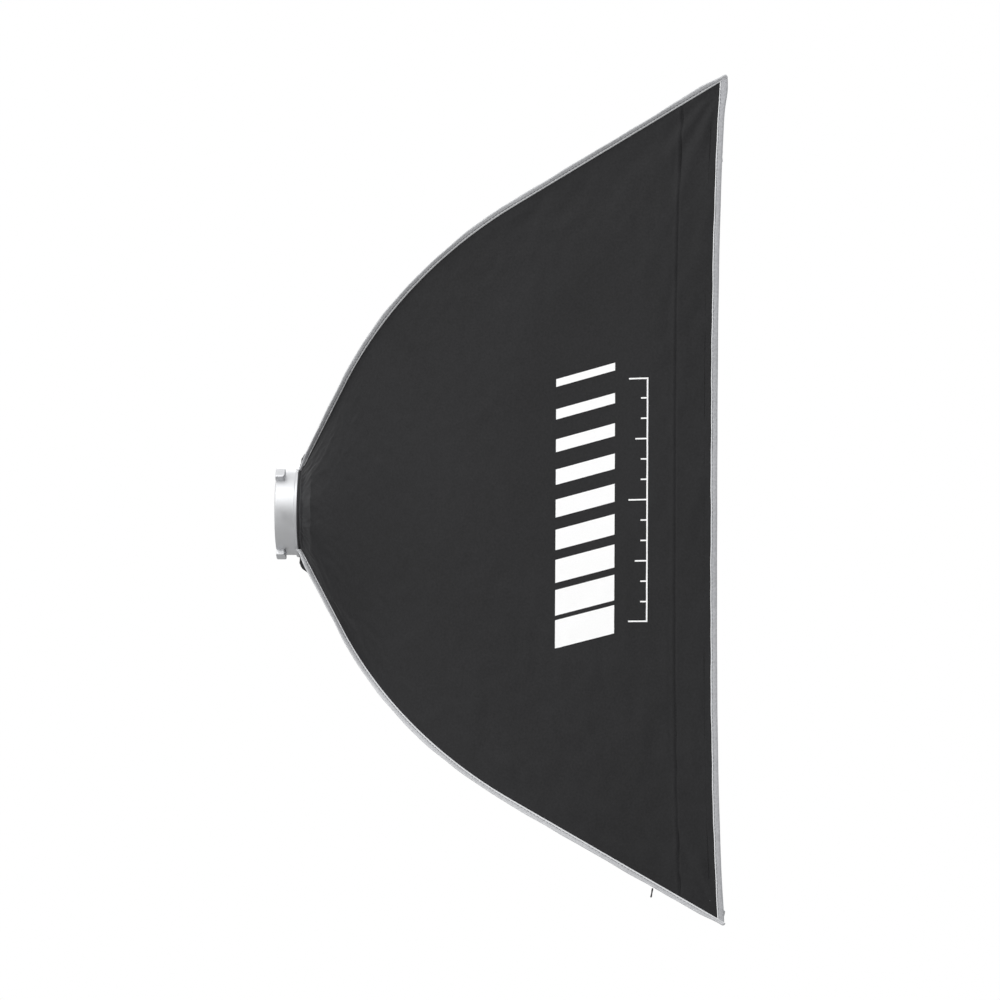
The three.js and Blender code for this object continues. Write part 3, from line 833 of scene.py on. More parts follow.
    def under(self, side: Side, along: Array, v: Array, depth: Array | float) -> Array:
        """Points a depth below the outside of a panel.

        Args:
            side: which panel.
            along: lengths from the ring, broadcast against v.
            v: from one seam (-1) to the other (1).
            depth: how far in, in millimetres.

        Returns:
            Points, in the broadcast shape.
        """
        depth = np.asarray(depth, float)[..., None]
        return self.outside(side, along, v) - self.normal(side, along, v) * depth


SHAPE = SkinShape()


# ---------------------------------------------------------------- stitches


@dataclass
class StitchRows:
    """Rows of stitches, laid one after another along lines by a Geometry Nodes tree."""

    name: str
    body: str
    thread: Finish
    pitch: float = 4.2
    length: float = 3.1
    radius: float = 0.36
    lines: list[Array] = field(default_factory=list)

    def add(self, line: Array) -> None:
        """Keeps one more line, in millimetres, to sew along."""
        self.lines.append(np.asarray(line, float))

    def tree(self) -> bpy.types.NodeTree:
        """Finds or builds the tree that turns lines into stitches.

        Returns:
            The node tree, with its sizes and its material as named inputs.
        """
        known = bpy.data.node_groups.get("row_of_stitches")
        if known:
            return known
        tree = bpy.data.node_groups.new("row_of_stitches", "GeometryNodeTree")
        sockets = [("Lines", "Geometry"), ("Pitch", "Float"), ("Stitch Length", "Float")]
        sockets += [("Thread Radius", "Float"), ("Thread", "Material")]
        for label, kind in sockets:
            tree.interface.new_socket(label, in_out="INPUT", socket_type="NodeSocket" + kind)
        tree.interface.new_socket("Stitches", in_out="OUTPUT", socket_type="NodeSocketGeometry")
        given = add_node(tree, "NodeGroupInput").outputs
        curve = add_node(tree, "GeometryNodeMeshToCurve", links={0: given["Lines"]})
        spaced = {"Curve": curve.outputs[0], "Length": given["Pitch"]}
        even = add_node(tree, "GeometryNodeResampleCurve", {"mode": "LENGTH"}, links=spaced)
        half = add_node(tree, MATH, MULTIPLY, {1: 0.5}, {0: given["Stitch Length"]}).outputs[0]
        sizes = {0: given["Thread Radius"], 1: given["Thread Radius"], 2: half}
        stretch = add_node(tree, "ShaderNodeCombineXYZ", links=sizes)
        bead = add_node(tree, "GeometryNodeMeshUVSphere", values={"Segments": 6, "Rings": 5, "Radius": 1.0})
        stretched = {"Geometry": bead.outputs[0], "Scale": stretch.outputs[0]}
        shaped = add_node(tree, "GeometryNodeTransform", links=stretched)
        ahead = add_node(tree, "GeometryNodeInputTangent").outputs[0]
        turn = add_node(tree, "FunctionNodeAlignRotationToVector", {"axis": "Z"}, links={"Vector": ahead})
        laid = {"Points": even.outputs[0], "Instance": shaped.outputs[0], "Rotation": turn.outputs[0]}
        placed = add_node(tree, "GeometryNodeInstanceOnPoints", links=laid)
        real = add_node(tree, "GeometryNodeRealizeInstances", links={0: placed.outputs[0]})
        smooth = add_node(tree, "GeometryNodeSetShadeSmooth", links={0: real.outputs[0]})
        thread = {"Geometry": smooth.outputs[0], "Material": given["Thread"]}
        dressed = add_node(tree, "GeometryNodeSetMaterial", links=thread)
        add_node(tree, "NodeGroupOutput", links={0: dressed.outputs[0]})
        return tree

    def build(self) -> None:
        """Sews every line, as one plain mesh that rides on its body."""
        points = np.vstack(self.lines) * MM
        edges, start = [], 0
        for line in self.lines:
            edges += [(start + i, start + i + 1) for i in range(len(line) - 1)]
            start += len(line)
        mesh = bpy.data.meshes.new(self.name + "_lines")
        mesh.from_pydata(points.tolist(), edges, [])
        guide = bpy.data.objects.new(self.name + "_lines", mesh)
        bpy.context.scene.collection.objects.link(guide)
        modifier = guide.modifiers.new("stitches", "NODES")
        tree = self.tree()
        modifier.node_group = tree
        values = {
            "Pitch": self.pitch * MM,
            "Stitch Length": self.length * MM,
            "Thread Radius": self.radius * MM,
            "Thread": self.thread.material(),
        }
        for item in tree.interface.items_tree:
            if item.in_out == "INPUT" and item.name in values:
                modifier[item.identifier] = values[item.name]
        seen = guide.evaluated_get(bpy.context.evaluated_depsgraph_get())
        sewn = bpy.data.meshes.new_from_object(seen)
        sewn.name = self.name
        bpy.data.objects.remove(guide)
        piece = bpy.data.objects.new(self.name, sewn)
        bpy.context.scene.collection.objects.link(piece)
        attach(piece, self.body)
        LOG.info("%s: %d faces", self.name, len(sewn.polygons))


# ---------------------------------------------------------------- bayonet insert


@dataclass
class BayonetInsert:
    """The turned aluminium ring that locks into the lamp, with its three lugs."""

    bore: float = 46.0
    tube: float = 49.5
    rear_x: float = -22.0
    shoulder: float = 52.0
    shoulder_x: float = 3.5
    neck: float = 50.6
    flange: float = 58.8
    flange_x: float = 17.6
    front_x: float = 20.7
    lug_radius: float = 56.5
    lug_length: float = 11.0
    lug_angles: tuple[float, ...] = (49.0, 169.0, 289.0)

    def ring(self) -> bpy.types.Object:
        """Turns the ring itself, with small chamfers where a tool would leave them."""
        c = 0.5
        profile = [
            (self.rear_x, self.bore + c),
            (self.rear_x, self.tube - 0.9),
            (self.rear_x + 0.9, self.tube),
            (-0.35, self.tube),
            (-0.35, self.tube - 0.4),
            (0, self.tube - 0.4),
            (0, self.shoulder - c),
            (c, self.shoulder),
            (self.shoulder_x - c, self.shoulder),
            (self.shoulder_x, self.shoulder - c),
            (self.shoulder_x, self.neck),
            (self.flange_x, self.neck),
            (self.flange_x, self.flange - c),
            (self.flange_x + c, self.flange),
            (self.front_x - c, self.flange),
            (self.front_x, self.flange - c),
            (self.front_x, self.bore + c),
            (self.front_x - c, self.bore),
            (2.0, self.bore),
            (1.6, self.bore + 0.3),
            (-1.6, self.bore + 0.3),
            (-2.0, self.bore),
            (self.rear_x + c, self.bore),
        ]
        return turned_about_x("bayonet_ring", profile, [ANODISED_ALUMINIUM], 192)

    def lug(self, angle: float, number: int) -> bpy.types.Object:
        """Makes one lug: a bent block whose front end has rounded corners.

        Args:
            angle: where it stands, in degrees from the near side.
            number: its number.

        Returns:
            The lug's object, without a body yet.
        """
        turns = np.radians(angle + np.linspace(-8, 8, 13))
        half = len(turns) // 2
        loops = []
        for i, turned in enumerate(turns):
            edge = max(0.0, abs(i - half) - half + 2) / 2
            front = self.rear_x + self.lug_length - 2.2 * edge**2
            top = self.lug_radius - 0.5 * edge**2
            section = [
                (self.rear_x + 0.05, self.tube - 1.2),
                (self.rear_x + 0.05, top - 0.8),
                (self.rear_x + 0.8, top),
                (front - 0.7, top),
                (front, top - 0.7),
                (front, self.tube - 1.2),
            ]
            loops.append([(x, -r * math.cos(turned), r * math.sin(turned)) for x, r in section])
        name = f"bayonet_lug_{number}"
        return bevelled(tube_of_loops(name, np.array(loops), [ANODISED_ALUMINIUM], sharp=TURNED_EDGE), 0.25)

    def build(self) -> None:
        """Makes the ring and its lugs in place of the plain insert."""
        pieces = [self.ring()] + [self.lug(angle, i + 1) for i, angle in enumerate(self.lug_angles)]
        for piece in pieces:
            keep_piece(piece, BAYONET, "bayonet_insert")


# ---------------------------------------------------------------- speedring and rods


@dataclass
class SpeedringSet:
    """The speedring with its clips and screws, which keep the frame's own shapes."""

    castings: tuple[str, ...] = ("speedring",)
    small_steel: tuple[str, ...] = ("retaining_clip_", "clip_screw_")

    def dress(self) -> None:
        """Gives the frame's own solids their finishes."""
        for name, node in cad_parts.items():
            finish = None
            if name in self.castings:
                finish = BLACK_POWDER_COAT
            elif name.startswith(self.small_steel):
                finish = ZINC_STEEL
            if finish:
                node.data.materials.clear()
                node.data.materials.append(finish.material())
                LOG.info("%s: %s", name, finish.name)


@dataclass
class SpringRods:
    """Four round spring-steel rods inside the seams, each with a ferrule at the rear and a tip in front."""

    offset: float = 11.0
    radius: float = 2.5
    start: float = 21.0
    tip_end: float = 13.0
    tip_length: float = 14.0
    tip_radius: float = 3.8
    tip_cover: float = 4.5
    ferrule_length: float = 46.0
    ferrule_radius: float = 4.0

    def _sweep(
        self, name: str, corner: Corner, stations: Sequence[tuple[float, float]], finish: Finish
    ) -> bpy.types.Object:
        """Sweeps a circle of changing radius along a rod's line.

        Args:
            name: the piece's name.
            corner: which rod.
            stations: length along the seam and radius, from the rear.
            finish: its finish.

        Returns:
            The new object.
        """
        along, radii = np.array(stations).T
        radii = radii[:, None]
        turn = np.linspace(0, 2 * math.pi, 16, endpoint=False)
        loops = SHAPE.seam(corner, along).near(-self.offset + radii * np.cos(turn), radii * np.sin(turn))
        return tube_of_loops(name, loops, [finish], sharp=35)

    def rod(self) -> list[tuple[float, float]]:
        """A rod's stations: straight, bent, and straight again to its tip."""
        rear, bend, _ = SHAPE.stretches
        bent = [(s, self.radius) for s in np.linspace(rear, rear + bend, 40)]
        front = SHAPE.length - self.tip_end - self.tip_cover
        return [(self.start, self.radius - 0.4), (self.start + 0.4, self.radius), *bent, (front, self.radius)]

    def ferrule(self) -> list[tuple[float, float]]:
        """A ferrule's stations: a plain sleeve with two crimped grooves near its front end."""
        end, full = self.start + self.ferrule_length, self.ferrule_radius
        groove = full - 0.5
        stations = [(self.start - 0.6, full - 0.6), (self.start, full)]
        for back in (12, 6):
            stations += [(end - back, full), (end - back + 0.8, groove)]
            stations += [(end - back + 3, groove), (end - back + 3.8, full)]
        return [*stations, (end - 0.5, full), (end, self.radius + 0.2)]

    def tip(self) -> list[tuple[float, float]]:
        """A tip's stations: a moulded cap with a rounded front end."""
        end, full = SHAPE.length - self.tip_end, self.tip_radius
        start = end - self.tip_length
        rear = [(start, full - 0.6), (start + 0.8, full)]
        return [*rear, (end - 3, full), (end - 1.2, full - 0.8), (end, full - 2)]

    def build(self) -> None:
        """Makes the rods, ferrules and tips in place of the plain ones."""
        kinds = (
            ("spring_rod", self.rod(), SPRING_STEEL, "spring_steel", "rod"),
            ("crimped_ferrule", self.ferrule(), ZINC_STEEL, "zinc_steel", "rod_ferrule"),
            ("moulded_tip", self.tip(), BLACK_NYLON_PLASTIC, "black_plastic", "rod_tip"),
        )
        for corner in Corner:
            number = corner.value[0]
            for name, stations, finish, slot, node in kinds:
                piece = self._sweep(f"{name}_{number}", corner, stations, finish)
                keep_piece(piece, SOFTBOX, f"{node}_{number}")


# ---------------------------------------------------------------- fabric panels


def cubic_weights(fine: Array, coarse: Array) -> Array:
    """The matrix that carries values from even places to any places by a smooth cubic curve.

    Args:
        fine: where values are wanted.
        coarse: where values are known, evenly spaced.

    Returns:
        One row of weights for each wanted place.
    """
    step = coarse[1] - coarse[0]
    count = len(coarse)
    spot = np.clip((fine - coarse[0]) / step, 0, count - 1 - 1e-9)
    base = spot.astype(int)
    t = spot - base
    kernel = [
        -0.5 * t + t**2 - 0.5 * t**3,
        1 - 2.5 * t**2 + 1.5 * t**3,
        0.5 * t + 2 * t**2 - 1.5 * t**3,
        -0.5 * t**2 + 0.5 * t**3,
    ]
    weights = np.zeros((len(fine), count))
    for offset, values in zip((-1, 0, 1, 2), kernel):
        np.add.at(weights, (np.arange(len(fine)), np.clip(base + offset, 0, count - 1)), values)
    return weights


@dataclass
class FabricPanel:
    """One cloth panel, black outside and silver inside, pulled tight between two seams."""

    side: Side
    thickness: float = 0.6
    edge_gap: float = 1.2
    lip_seam: float = 54.0
    rear_hem: float = 7.0
    rear_edge: float = -3.0
    low_bulge: float = 6.0
    high_bulge: float = 4.0
    cloth_rows: int = 64
    cloth_columns: int = 56
    ease: float = 0.035
    cap: float = 2.6
    uneven: float = 0.25
    settling_steps: int = 22
    lip_from: float = 64.0
    lip_blend: float = 6.0
    lip_slack: float = 0.5
    lip_floor: float = 1.0

    def edge(self, along: Array) -> Array:
        """v where the panel ends beside the seam."""
        radius = SHAPE.profile(along)[1]
        return 1 - self.edge_gap / (radius * SHAPE.share_of(self.side.span))

    def wrinkles(self) -> tuple[Array, Array, Array]:
        """Lets the cloth settle, held at its seams, with a little extra length sewn into them.

        Returns:
            The rows and columns of the settled grid, and how far each of its points has moved.
        """
        rows = np.linspace(0, SHAPE.length, self.cloth_rows)
        columns = np.linspace(-1, 1, self.cloth_columns)
        v = columns[None, :] * self.edge(rows)[:, None]
        rest = SHAPE.outside(self.side, rows[:, None], v)
        rng = np.random.default_rng(SEED + list(Side).index(self.side))
        uneven = rng.normal(0, self.uneven, rest.shape[:2])[..., None]
        start = rest + SHAPE.normal(self.side, rows[:, None], v) * uneven
        sheet = mesh_piece("settling_cloth", start.reshape(-1, 3), grid_faces(*rest.shape[:2]), [BLACK_NYLON])
        held = sheet.vertex_groups.new(name="held")
        loose = sheet.vertex_groups.new(name="eased")
        last_row, last_column = self.cloth_rows - 1, self.cloth_columns - 1
        for i in range(self.cloth_rows):
            for j in range(self.cloth_columns):
                index = i * self.cloth_columns + j
                from_seam = min(j, last_column - j) / self.cloth_columns
                from_end = min(i, last_row - i) / self.cloth_rows
                if from_seam == 0 or from_end == 0:
                    held.add([index], 1.0, "REPLACE")
                ease = math.exp(-from_seam * 14) + 0.7 * math.exp(-from_end * 16)
                loose.add([index], min(1.0, ease + 0.12), "REPLACE")
        modifier = sheet.modifiers.new("cloth", "CLOTH")
        cloth = modifier.settings
        cloth.quality = 5
        cloth.mass = 0.05
        cloth.tension_stiffness = 30
        cloth.compression_stiffness = 30
        cloth.shear_stiffness = 12
        cloth.bending_stiffness = 0.05
        cloth.vertex_group_mass = "held"
        cloth.vertex_group_shrink = "eased"
        cloth.shrink_min = 0.0
        cloth.shrink_max = -self.ease
        cloth.effector_weights.gravity = 0.15
        modifier.collision_settings.use_collision = False
        scene = bpy.context.scene
        for step in range(1, self.settling_steps + 1):
            scene.frame_set(step)
        seen = sheet.evaluated_get(bpy.context.evaluated_depsgraph_get()).to_mesh()
        settled = np.empty(len(seen.vertices) * 3, np.float32)
        seen.vertices.foreach_get("co", settled)
        scene.frame_set(1)
        bpy.data.objects.remove(sheet)
        moved = settled.reshape(rest.shape) / MM - rest
        far = np.linalg.norm(moved, axis=-1, keepdims=True)
        moved *= np.minimum(1, self.cap / np.maximum(far, 1e-6))
        moved[0] = moved[-1] = 0
        moved[:, 0] = moved[:, -1] = 0
        LOG.info("panel %s settled, moving up to %.2f mm", self.side.label, float(far.max()))
        return rows, columns, moved

    def relief(self, along: Array, v: Array) -> Array:
        """How far sewn lines and pulled corners raise or sink the cloth.

        Args:
            along: lengths from the ring, broadcast against v.
            v: from one seam (-1) to the other (1).

        Returns:
            Heights in millimetres.
        """
        radius = SHAPE.profile(along)[1]
        half_span = radius * SHAPE.share_of(self.side.span)
        to_seam = (1 - np.abs(v)) * half_span
        to_front = SHAPE.length - along
        height = smoothstep(along, self.rear_edge - 0.3, self.rear_edge + 1.8)
        height = height * (1 - smoothstep(along, self.rear_hem - 1.0, self.rear_hem + 1.4))
        height = height * (1 + 0.4 * np.sin(v * 11 + 2))
        bulge = {Side.BOTTOM: self.low_bulge, Side.TOP: self.high_bulge}.get(self.side, 0.0)
        beside_ring = np.exp(-(((along - 10) / 8.5) ** 2))
        height = height + bulge * beside_ring * np.exp(-(((np.abs(v) - 0.45) / 0.32) ** 2))
        height = height - 0.5 * np.exp(-(((to_front - self.lip_seam) / 1.2) ** 2))
        height = height + 0.35 * np.exp(-(((to_front - self.lip_seam - 4.0) / 2.4) ** 2)) * (
            1 + 0.6 * np.sin(v * half_span / 5.5 + 1.3 * np.sin(v * half_span / 31))
        )
        reach = np.hypot(to_seam, to_front)
        bearing = np.arctan2(to_seam, to_front)
        pulled = np.sin(bearing * 13 + 0.6) * np.exp(-reach / 75) * smoothstep(reach, 4, 30)
        height = height + 1.1 * pulled * smoothstep(to_seam, 0, 10) * smoothstep(to_front, 6, 16)
        near_ring = np.exp(-along / 55) * smoothstep(along, 12, 34)
        folds = np.sin(v * 17 + 0.4 * np.sin(along / 17))
        height = height + 0.8 * near_ring * folds * smoothstep(to_seam, 0, 12)
        return height * smoothstep(to_seam, 0.4, 3.0)

    def lift_off_tape(self, along: Array, moved: Array, height: Array) -> Array:
        """How far the cloth is held out over the lip's loop tape, which it can't sink through.

        Args:
            along: lengths from the ring.
            moved: how far the settled cloth has moved outwards.
            height: how far the relief raises it.

        Returns:
            Heights to add, in millimetres.
        """
        start = SHAPE.length - self.lip_from
        lift = np.maximum(-self.lip_slack - moved, -self.lip_floor - moved - height)
        return np.maximum(0, lift) * smoothstep(along, start, start + self.lip_blend)

    def build(self) -> bpy.types.Object:
        """Makes the panel as one closed thin sheet.

        Returns:
            The panel's object.
        """
        ends = (self.rear_edge, 32, SHAPE.length - 68, SHAPE.length - 46, SHAPE.length)
        counts = (36, 110, 24, 14)
        rows = np.unique(np.concatenate([np.linspace(*span) for span in zip(ends, ends[1:], counts)]))
        inner = np.linspace(-1, 1, 111)
        columns = np.sign(inner) * (1 - (1 - np.abs(inner)) ** 1.25)
        v = columns[None, :] * self.edge(rows)[:, None]
        along = np.broadcast_to(rows[:, None], v.shape)
        cloth_rows, cloth_columns, moved = self.wrinkles()
        across = cubic_weights(columns, cloth_columns)
        down = cubic_weights(rows, cloth_rows)
        settled = np.einsum("ai,ijk,bj->abk", down, moved, across)
        normal = SHAPE.normal(self.side, along, v)
        height = self.relief(along, v)
        height = height + self.lift_off_tape(along, np.sum(settled * normal, axis=-1), height)
        face = SHAPE.outside(self.side, along, v) + settled + normal * height[..., None]
        back = face - normal * self.thickness
        count_rows, count_columns = v.shape
        half = SHAPE.profile(rows)[1][:, None] * SHAPE.share_of(self.side.span)
        uv = np.stack([along, v * half], axis=-1).reshape(-1, 2) * MM
        points = np.vstack([face.reshape(-1, 3), back.reshape(-1, 3)])
        total = count_rows * count_columns
        front_faces = grid_faces(count_rows, count_columns)
        front_faces = facing(front_faces, points, normal.reshape(-1, 3)[0])
        back_faces = front_faces[:, ::-1] + total
        rim = rim_faces(count_rows, count_columns, total, front_faces)
        faces = np.vstack([front_faces, back_faces, rim])
        slots = np.concatenate([np.zeros(len(front_faces)), np.ones(len(back_faces)), np.zeros(len(rim))])
        name, finishes = f"cloth_panel_{self.side.label}", [BLACK_NYLON, SILVER_COATING]
        piece = mesh_piece(name, points, faces, finishes, slots, np.vstack([uv, uv]), 60)
        keep_piece(piece, SOFTBOX, f"panel_{self.side.label}")
        self._declare(rows)
        return piece

    def _declare(self, rows: Array) -> None:
        """Works out points on the panel's outside, which nothing goes on to use.

        Args:
            rows: lengths along the seam.
        """
        columns = np.linspace(-1, 1, 60)
        points = SHAPE.outside(self.side, rows[:, None], columns[None, :] * self.edge(rows)[:, None])


# ---------------------------------------------------------------- bindings and hems


@dataclass
class SeamBinding:
    """Grey tape folded over the edges of two panels and sewn through, standing out along a rod."""

    corner: Corner
    width: float = 6.4
    root: float = 0.5
    half: float = 1.0
    groove_at: float = 1.8
    groove: float = 0.6
    taper: float = 2.8
    taper_length: float = 26.0
    front_taper: float = 2.4

    def section(self) -> tuple[Array, Array]:
        """The folded tape's section.

        Returns:
            Offsets outwards and across, round the loop.
        """
        up = np.array([-self.root, 0.0, 0.7, 1.2, self.groove_at, 2.4, 2.9, 3.7, 4.5, 5.2])
        side = np.array([0.86, 0.95, 1.12, 1.0, 1.0 - self.groove, 0.95, 1.1, 1.05, 1.0, 0.95]) * self.half
        turn = np.radians([60, 30, 0, -30, -60])
        tip_out = self.width - 1 + np.cos(turn)
        tip_side = self.half * np.sin(turn)
        out = np.concatenate([up, tip_out, up[::-1]])
        across = np.concatenate([side, tip_side, -side[::-1]])
        return out, across

    @staticmethod
    def highlight_columns(columns: int) -> list[int]:
        """The columns of faces beside the fabric, which take the painted highlight of the tape's folded edge.
        """
        return [0, 1, 2, columns - 4, columns - 3, columns - 2]

    def frames(self, count: int = 300) -> tuple[Array, SeamFrames]:
        """The places that the tape is swept through, up to the front corner.

        Args:
            count: how many places.

        Returns:
            Their lengths along the seam, and their frames.
        """
        tip = SHAPE.length + np.array([0.3, 1.0, 1.7, 2.2, 2.5])
        along = np.append(np.linspace(-3.4, SHAPE.length - 1, count), tip)
        return along, SHAPE.seam(self.corner, along)

    def sway(self, along: Array) -> tuple[Array, Array]:
        """How unevenly the tape was sewn.

        Args:
            along: lengths along the seam.

        Returns:
            Its change of width, and how far its edge leans across.
        """
        number = self.corner.value[0]
        wide = 0.25 * np.sin(along / 23 + number) + 0.15 * np.sin(along / 7.1 + 2 * number)
        wide = wide - self.taper * (1 - smoothstep(along, -4.0, self.taper_length))
        wide = wide - self.front_taper * smoothstep(along, SHAPE.length - 30, SHAPE.length)
        past = np.clip((along - SHAPE.length - 0.3) / 2.3, 0, 1)
        wide = wide - 3.4 * (1 - np.sqrt(1 - past**2))
        lean = 0.5 * np.sin(along / 41 + 1.7 * number) + 0.25 * np.sin(along / 11.3 + number)
        return wide, lean

    def build(self, stitches: StitchRows) -> None:
        """Makes the tape and adds its two rows of stitches.

        Args:
            stitches: what collects the rows.
        """
        along, frames = self.frames()
        out, across = self.section()
        wide, lean = self.sway(along)
        share = np.clip(out / self.width, 0, 1)
        outs = out[None, :] + wide[:, None] * share[None, :]
        sides = across[None, :] + lean[:, None] * share[None, :] ** 2
        loops = frames.near(outs, sides)
        uvs = strip_map(along, girth_of(out, across))
        # The second finish is a painted highlight: a lighter copy of the tape along its folded edges beside
        # the cloth.
        number, finishes = self.corner.value[0], [GREY_TAPE, TAPE_FOLD_HIGHLIGHT]
        piece = tube_of_loops(f"seam_tape_{number}", loops, finishes, uvs, 60, self.highlight_columns(len(out)))
        keep_piece(piece, SOFTBOX, f"seam_binding_{number}")
        sewn = slice(4, -9)
        beside = self.half - self.groove + 0.15
        for sign in (-1, 1):
            row = frames.near(np.full((1, 1), self.groove_at), np.full((1, 1), sign * beside))
            stitches.add(row[sewn, 0])


@dataclass
class FrontHem:
    """Grey tape folded round a panel's front edge and sewn through."""

    side: Side
    width: float = 7.0
    cloth: float = 0.6
    cover: float = 0.75
    groove_at: float = 5.0
    reach: float = 0.9985
    flare: float = 2.7
    flare_at: float = 14.0
    flare_reach: float = 16.0
    low_flare: float = 0.15
    plain_flare: float = 0.3

    def section(self) -> tuple[Array, Array]:
        """The folded tape's section.

        Returns:
            Offsets forwards from the panel's edge, and depths below its outside.
        """
        top, bottom = -self.cover, self.cloth + self.cover
        outer = [(-self.width, 0.0), (-self.width + 0.3, top * 0.8), (-6.1, top), (-5.6, top * 0.95)]
        outer += [(-self.groove_at, top * 0.25), (-4.4, top * 0.95), (-3.9, top * 1.05), (-2, top)]
        tip = [(0.1, top * 0.9), (0.9, top * 0.35), (1.15, (top + bottom) / 2), (0.9, bottom - 0.5)]
        inner = [(0.1, bottom), (-3.9, bottom), (-self.groove_at, bottom - 0.5), (-6.1, bottom)]
        inner.append((-self.width, self.cloth))
        loop = np.array(outer + tip + inner)
        return loop[:, 0], loop[:, 1]

    def build(self, stitches: StitchRows) -> None:
        """Makes the tape and adds its rows of stitches.

        Args:
            stitches: what collects the rows.
        """
        half = SHAPE.half_of(self.side)
        v = np.linspace(-self.reach, self.reach, int(half / 1.9))
        forward, depth = self.section()
        number = list(Side).index(self.side)
        span = v * half
        wide = 0.2 * np.sin(span / 19 + number) + 0.15 * np.sin(span / 6.3)
        lift = 0.18 * np.sin(span / 13 + 2 * number)
        flare = self.flare * np.exp(-(((half - np.abs(span) - self.flare_at) / self.flare_reach) ** 2))
        height = SHAPE.under(self.side, SHAPE.length, v, 0)[:, 2]
        flare = flare * np.where(height > 0, 1.0, self.low_flare)
        flare = flare * (1.0 if self.side is Side.NEAR else self.plain_flare)
        uneven = np.where(forward[None, :] < -3, -wide[:, None], flare[:, None])
        along = SHAPE.length + forward[None, :] + uneven
        depths = depth[None, :] - lift[:, None]
        loops = SHAPE.under(self.side, along, v[:, None], depths)
        uvs = strip_map(span, girth_of(forward, depth))
        # The hem tape's darker copy of the tape colour is painted shade.
        label, finishes = self.side.label, [SHADED_HEM_TAPE, TAPE_FOLD_HIGHLIGHT]
        # Columns 0 to 2 take the painted highlight along the hem's folded edge beside the black cloth.
        piece = tube_of_loops(f"hem_tape_{label}", loops, finishes, uvs, 60, (0, 1, 2))
        keep_piece(piece, SOFTBOX, f"front_hem_{label}")
        rows = SHAPE.length - self.groove_at
        sewn = slice(3, -3)
        for depth_sewn in (-0.28, self.cloth + 0.4):
            stitches.add(SHAPE.under(self.side, rows, v[sewn], depth_sewn - lift[sewn]))


# ---------------------------------------------------------------- printed mark


@dataclass
class PanelPrint:
    """A plain mark printed on a tall panel: a row of bars that thin out, beside a ruled line with ticks."""

    side: Side
    centre_x: float = 331.0
    height_x: float = 64.0
    length_z: float = 318.0
    bars: int = 9
    lean: float = 16.0
    line_x: float = 398.0
    line_length: float = 262.0
    line_width: float = 1.6
    ticks: int = 12
    film: float = 0.5
    step: float = 3.0

    def shapes(self) -> list[Array]:
        """Outlines of the mark's quads, as (x, z) corners.

        Returns:
            One array of four corners for each bar, line and tick.
        """
        quads = []
        pitch = self.length_z / self.bars
        low_x, high_x = self.centre_x - self.height_x / 2, self.centre_x + self.height_x / 2
        for i in range(self.bars):
            z = -self.length_z / 2 + i * pitch
            width = pitch * (0.86 - 0.078 * i)
            top, lean = z + width, self.lean
            quads.append(np.array([(low_x, z), (low_x, top), (high_x, top + lean), (high_x, z + lean)]))
        half, line = self.line_length / 2, self.line_width
        quads.append(self._box(self.line_x, 0, line, self.line_length))
        for i in range(self.ticks + 1):
            tall = 20.0 if i % 6 == 0 else (13.0 if i % 3 == 0 else 7.0)
            z = float(np.clip(-half + self.line_length * i / self.ticks, line / 2 - half, half - line / 2))
            quads.append(self._box(self.line_x - tall / 2, z, tall, line))
        return quads

    @staticmethod
    def _box(x: float, z: float, width: float, length: float) -> Array:
        """The corners of an upright rectangle round a centre."""
        w, h = width / 2, length / 2
        return np.array([(x - w, z - h), (x - w, z + h), (x + w, z + h), (x + w, z - h)])

    def build(self, panel: bpy.types.Object) -> None:
        """Lays the mark on the panel's cloth.

        Args:
            panel: the panel that it is printed on.
        """
        tree = BVHTree.FromObject(panel, bpy.context.evaluated_depsgraph_get())
        inwards = Vector((0, -self.side.sign, 0))
        points: list[Array] = []
        faces: list[Array] = []
        for corners in self.shapes():
            size = np.linalg.norm(corners[1] - corners[0]), np.linalg.norm(corners[3] - corners[0])
            rows, columns = (max(2, int(length / self.step) + 2) for length in size)
            t, u = np.meshgrid(np.linspace(0, 1, rows), np.linspace(0, 1, columns), indexing="ij")
            flat = (
                corners[0] * ((1 - t) * (1 - u))[..., None]
                + corners[1] * (t * (1 - u))[..., None]
                + corners[2] * (t * u)[..., None]
                + corners[3] * ((1 - t) * u)[..., None]
            ).reshape(-1, 2)
            faces.append(grid_faces(rows, columns, start=len(points)))
            for x, z in flat:
                origin = Vector((x * MM, self.side.sign * 0.5, z * MM))
                place, normal, _, _ = tree.ray_cast(origin, inwards)
                points.append(np.array(place + normal * self.film * MM) / MM)
        quads = np.vstack(faces)
        array = np.array(points)
        quads = facing(quads, array, (0, self.side.sign, 0))
        piece = mesh_piece(f"panel_print_{self.side.label}", array, quads, [WHITE_INK])
        keep_piece(piece, SOFTBOX)


# ---------------------------------------------------------------- front lip


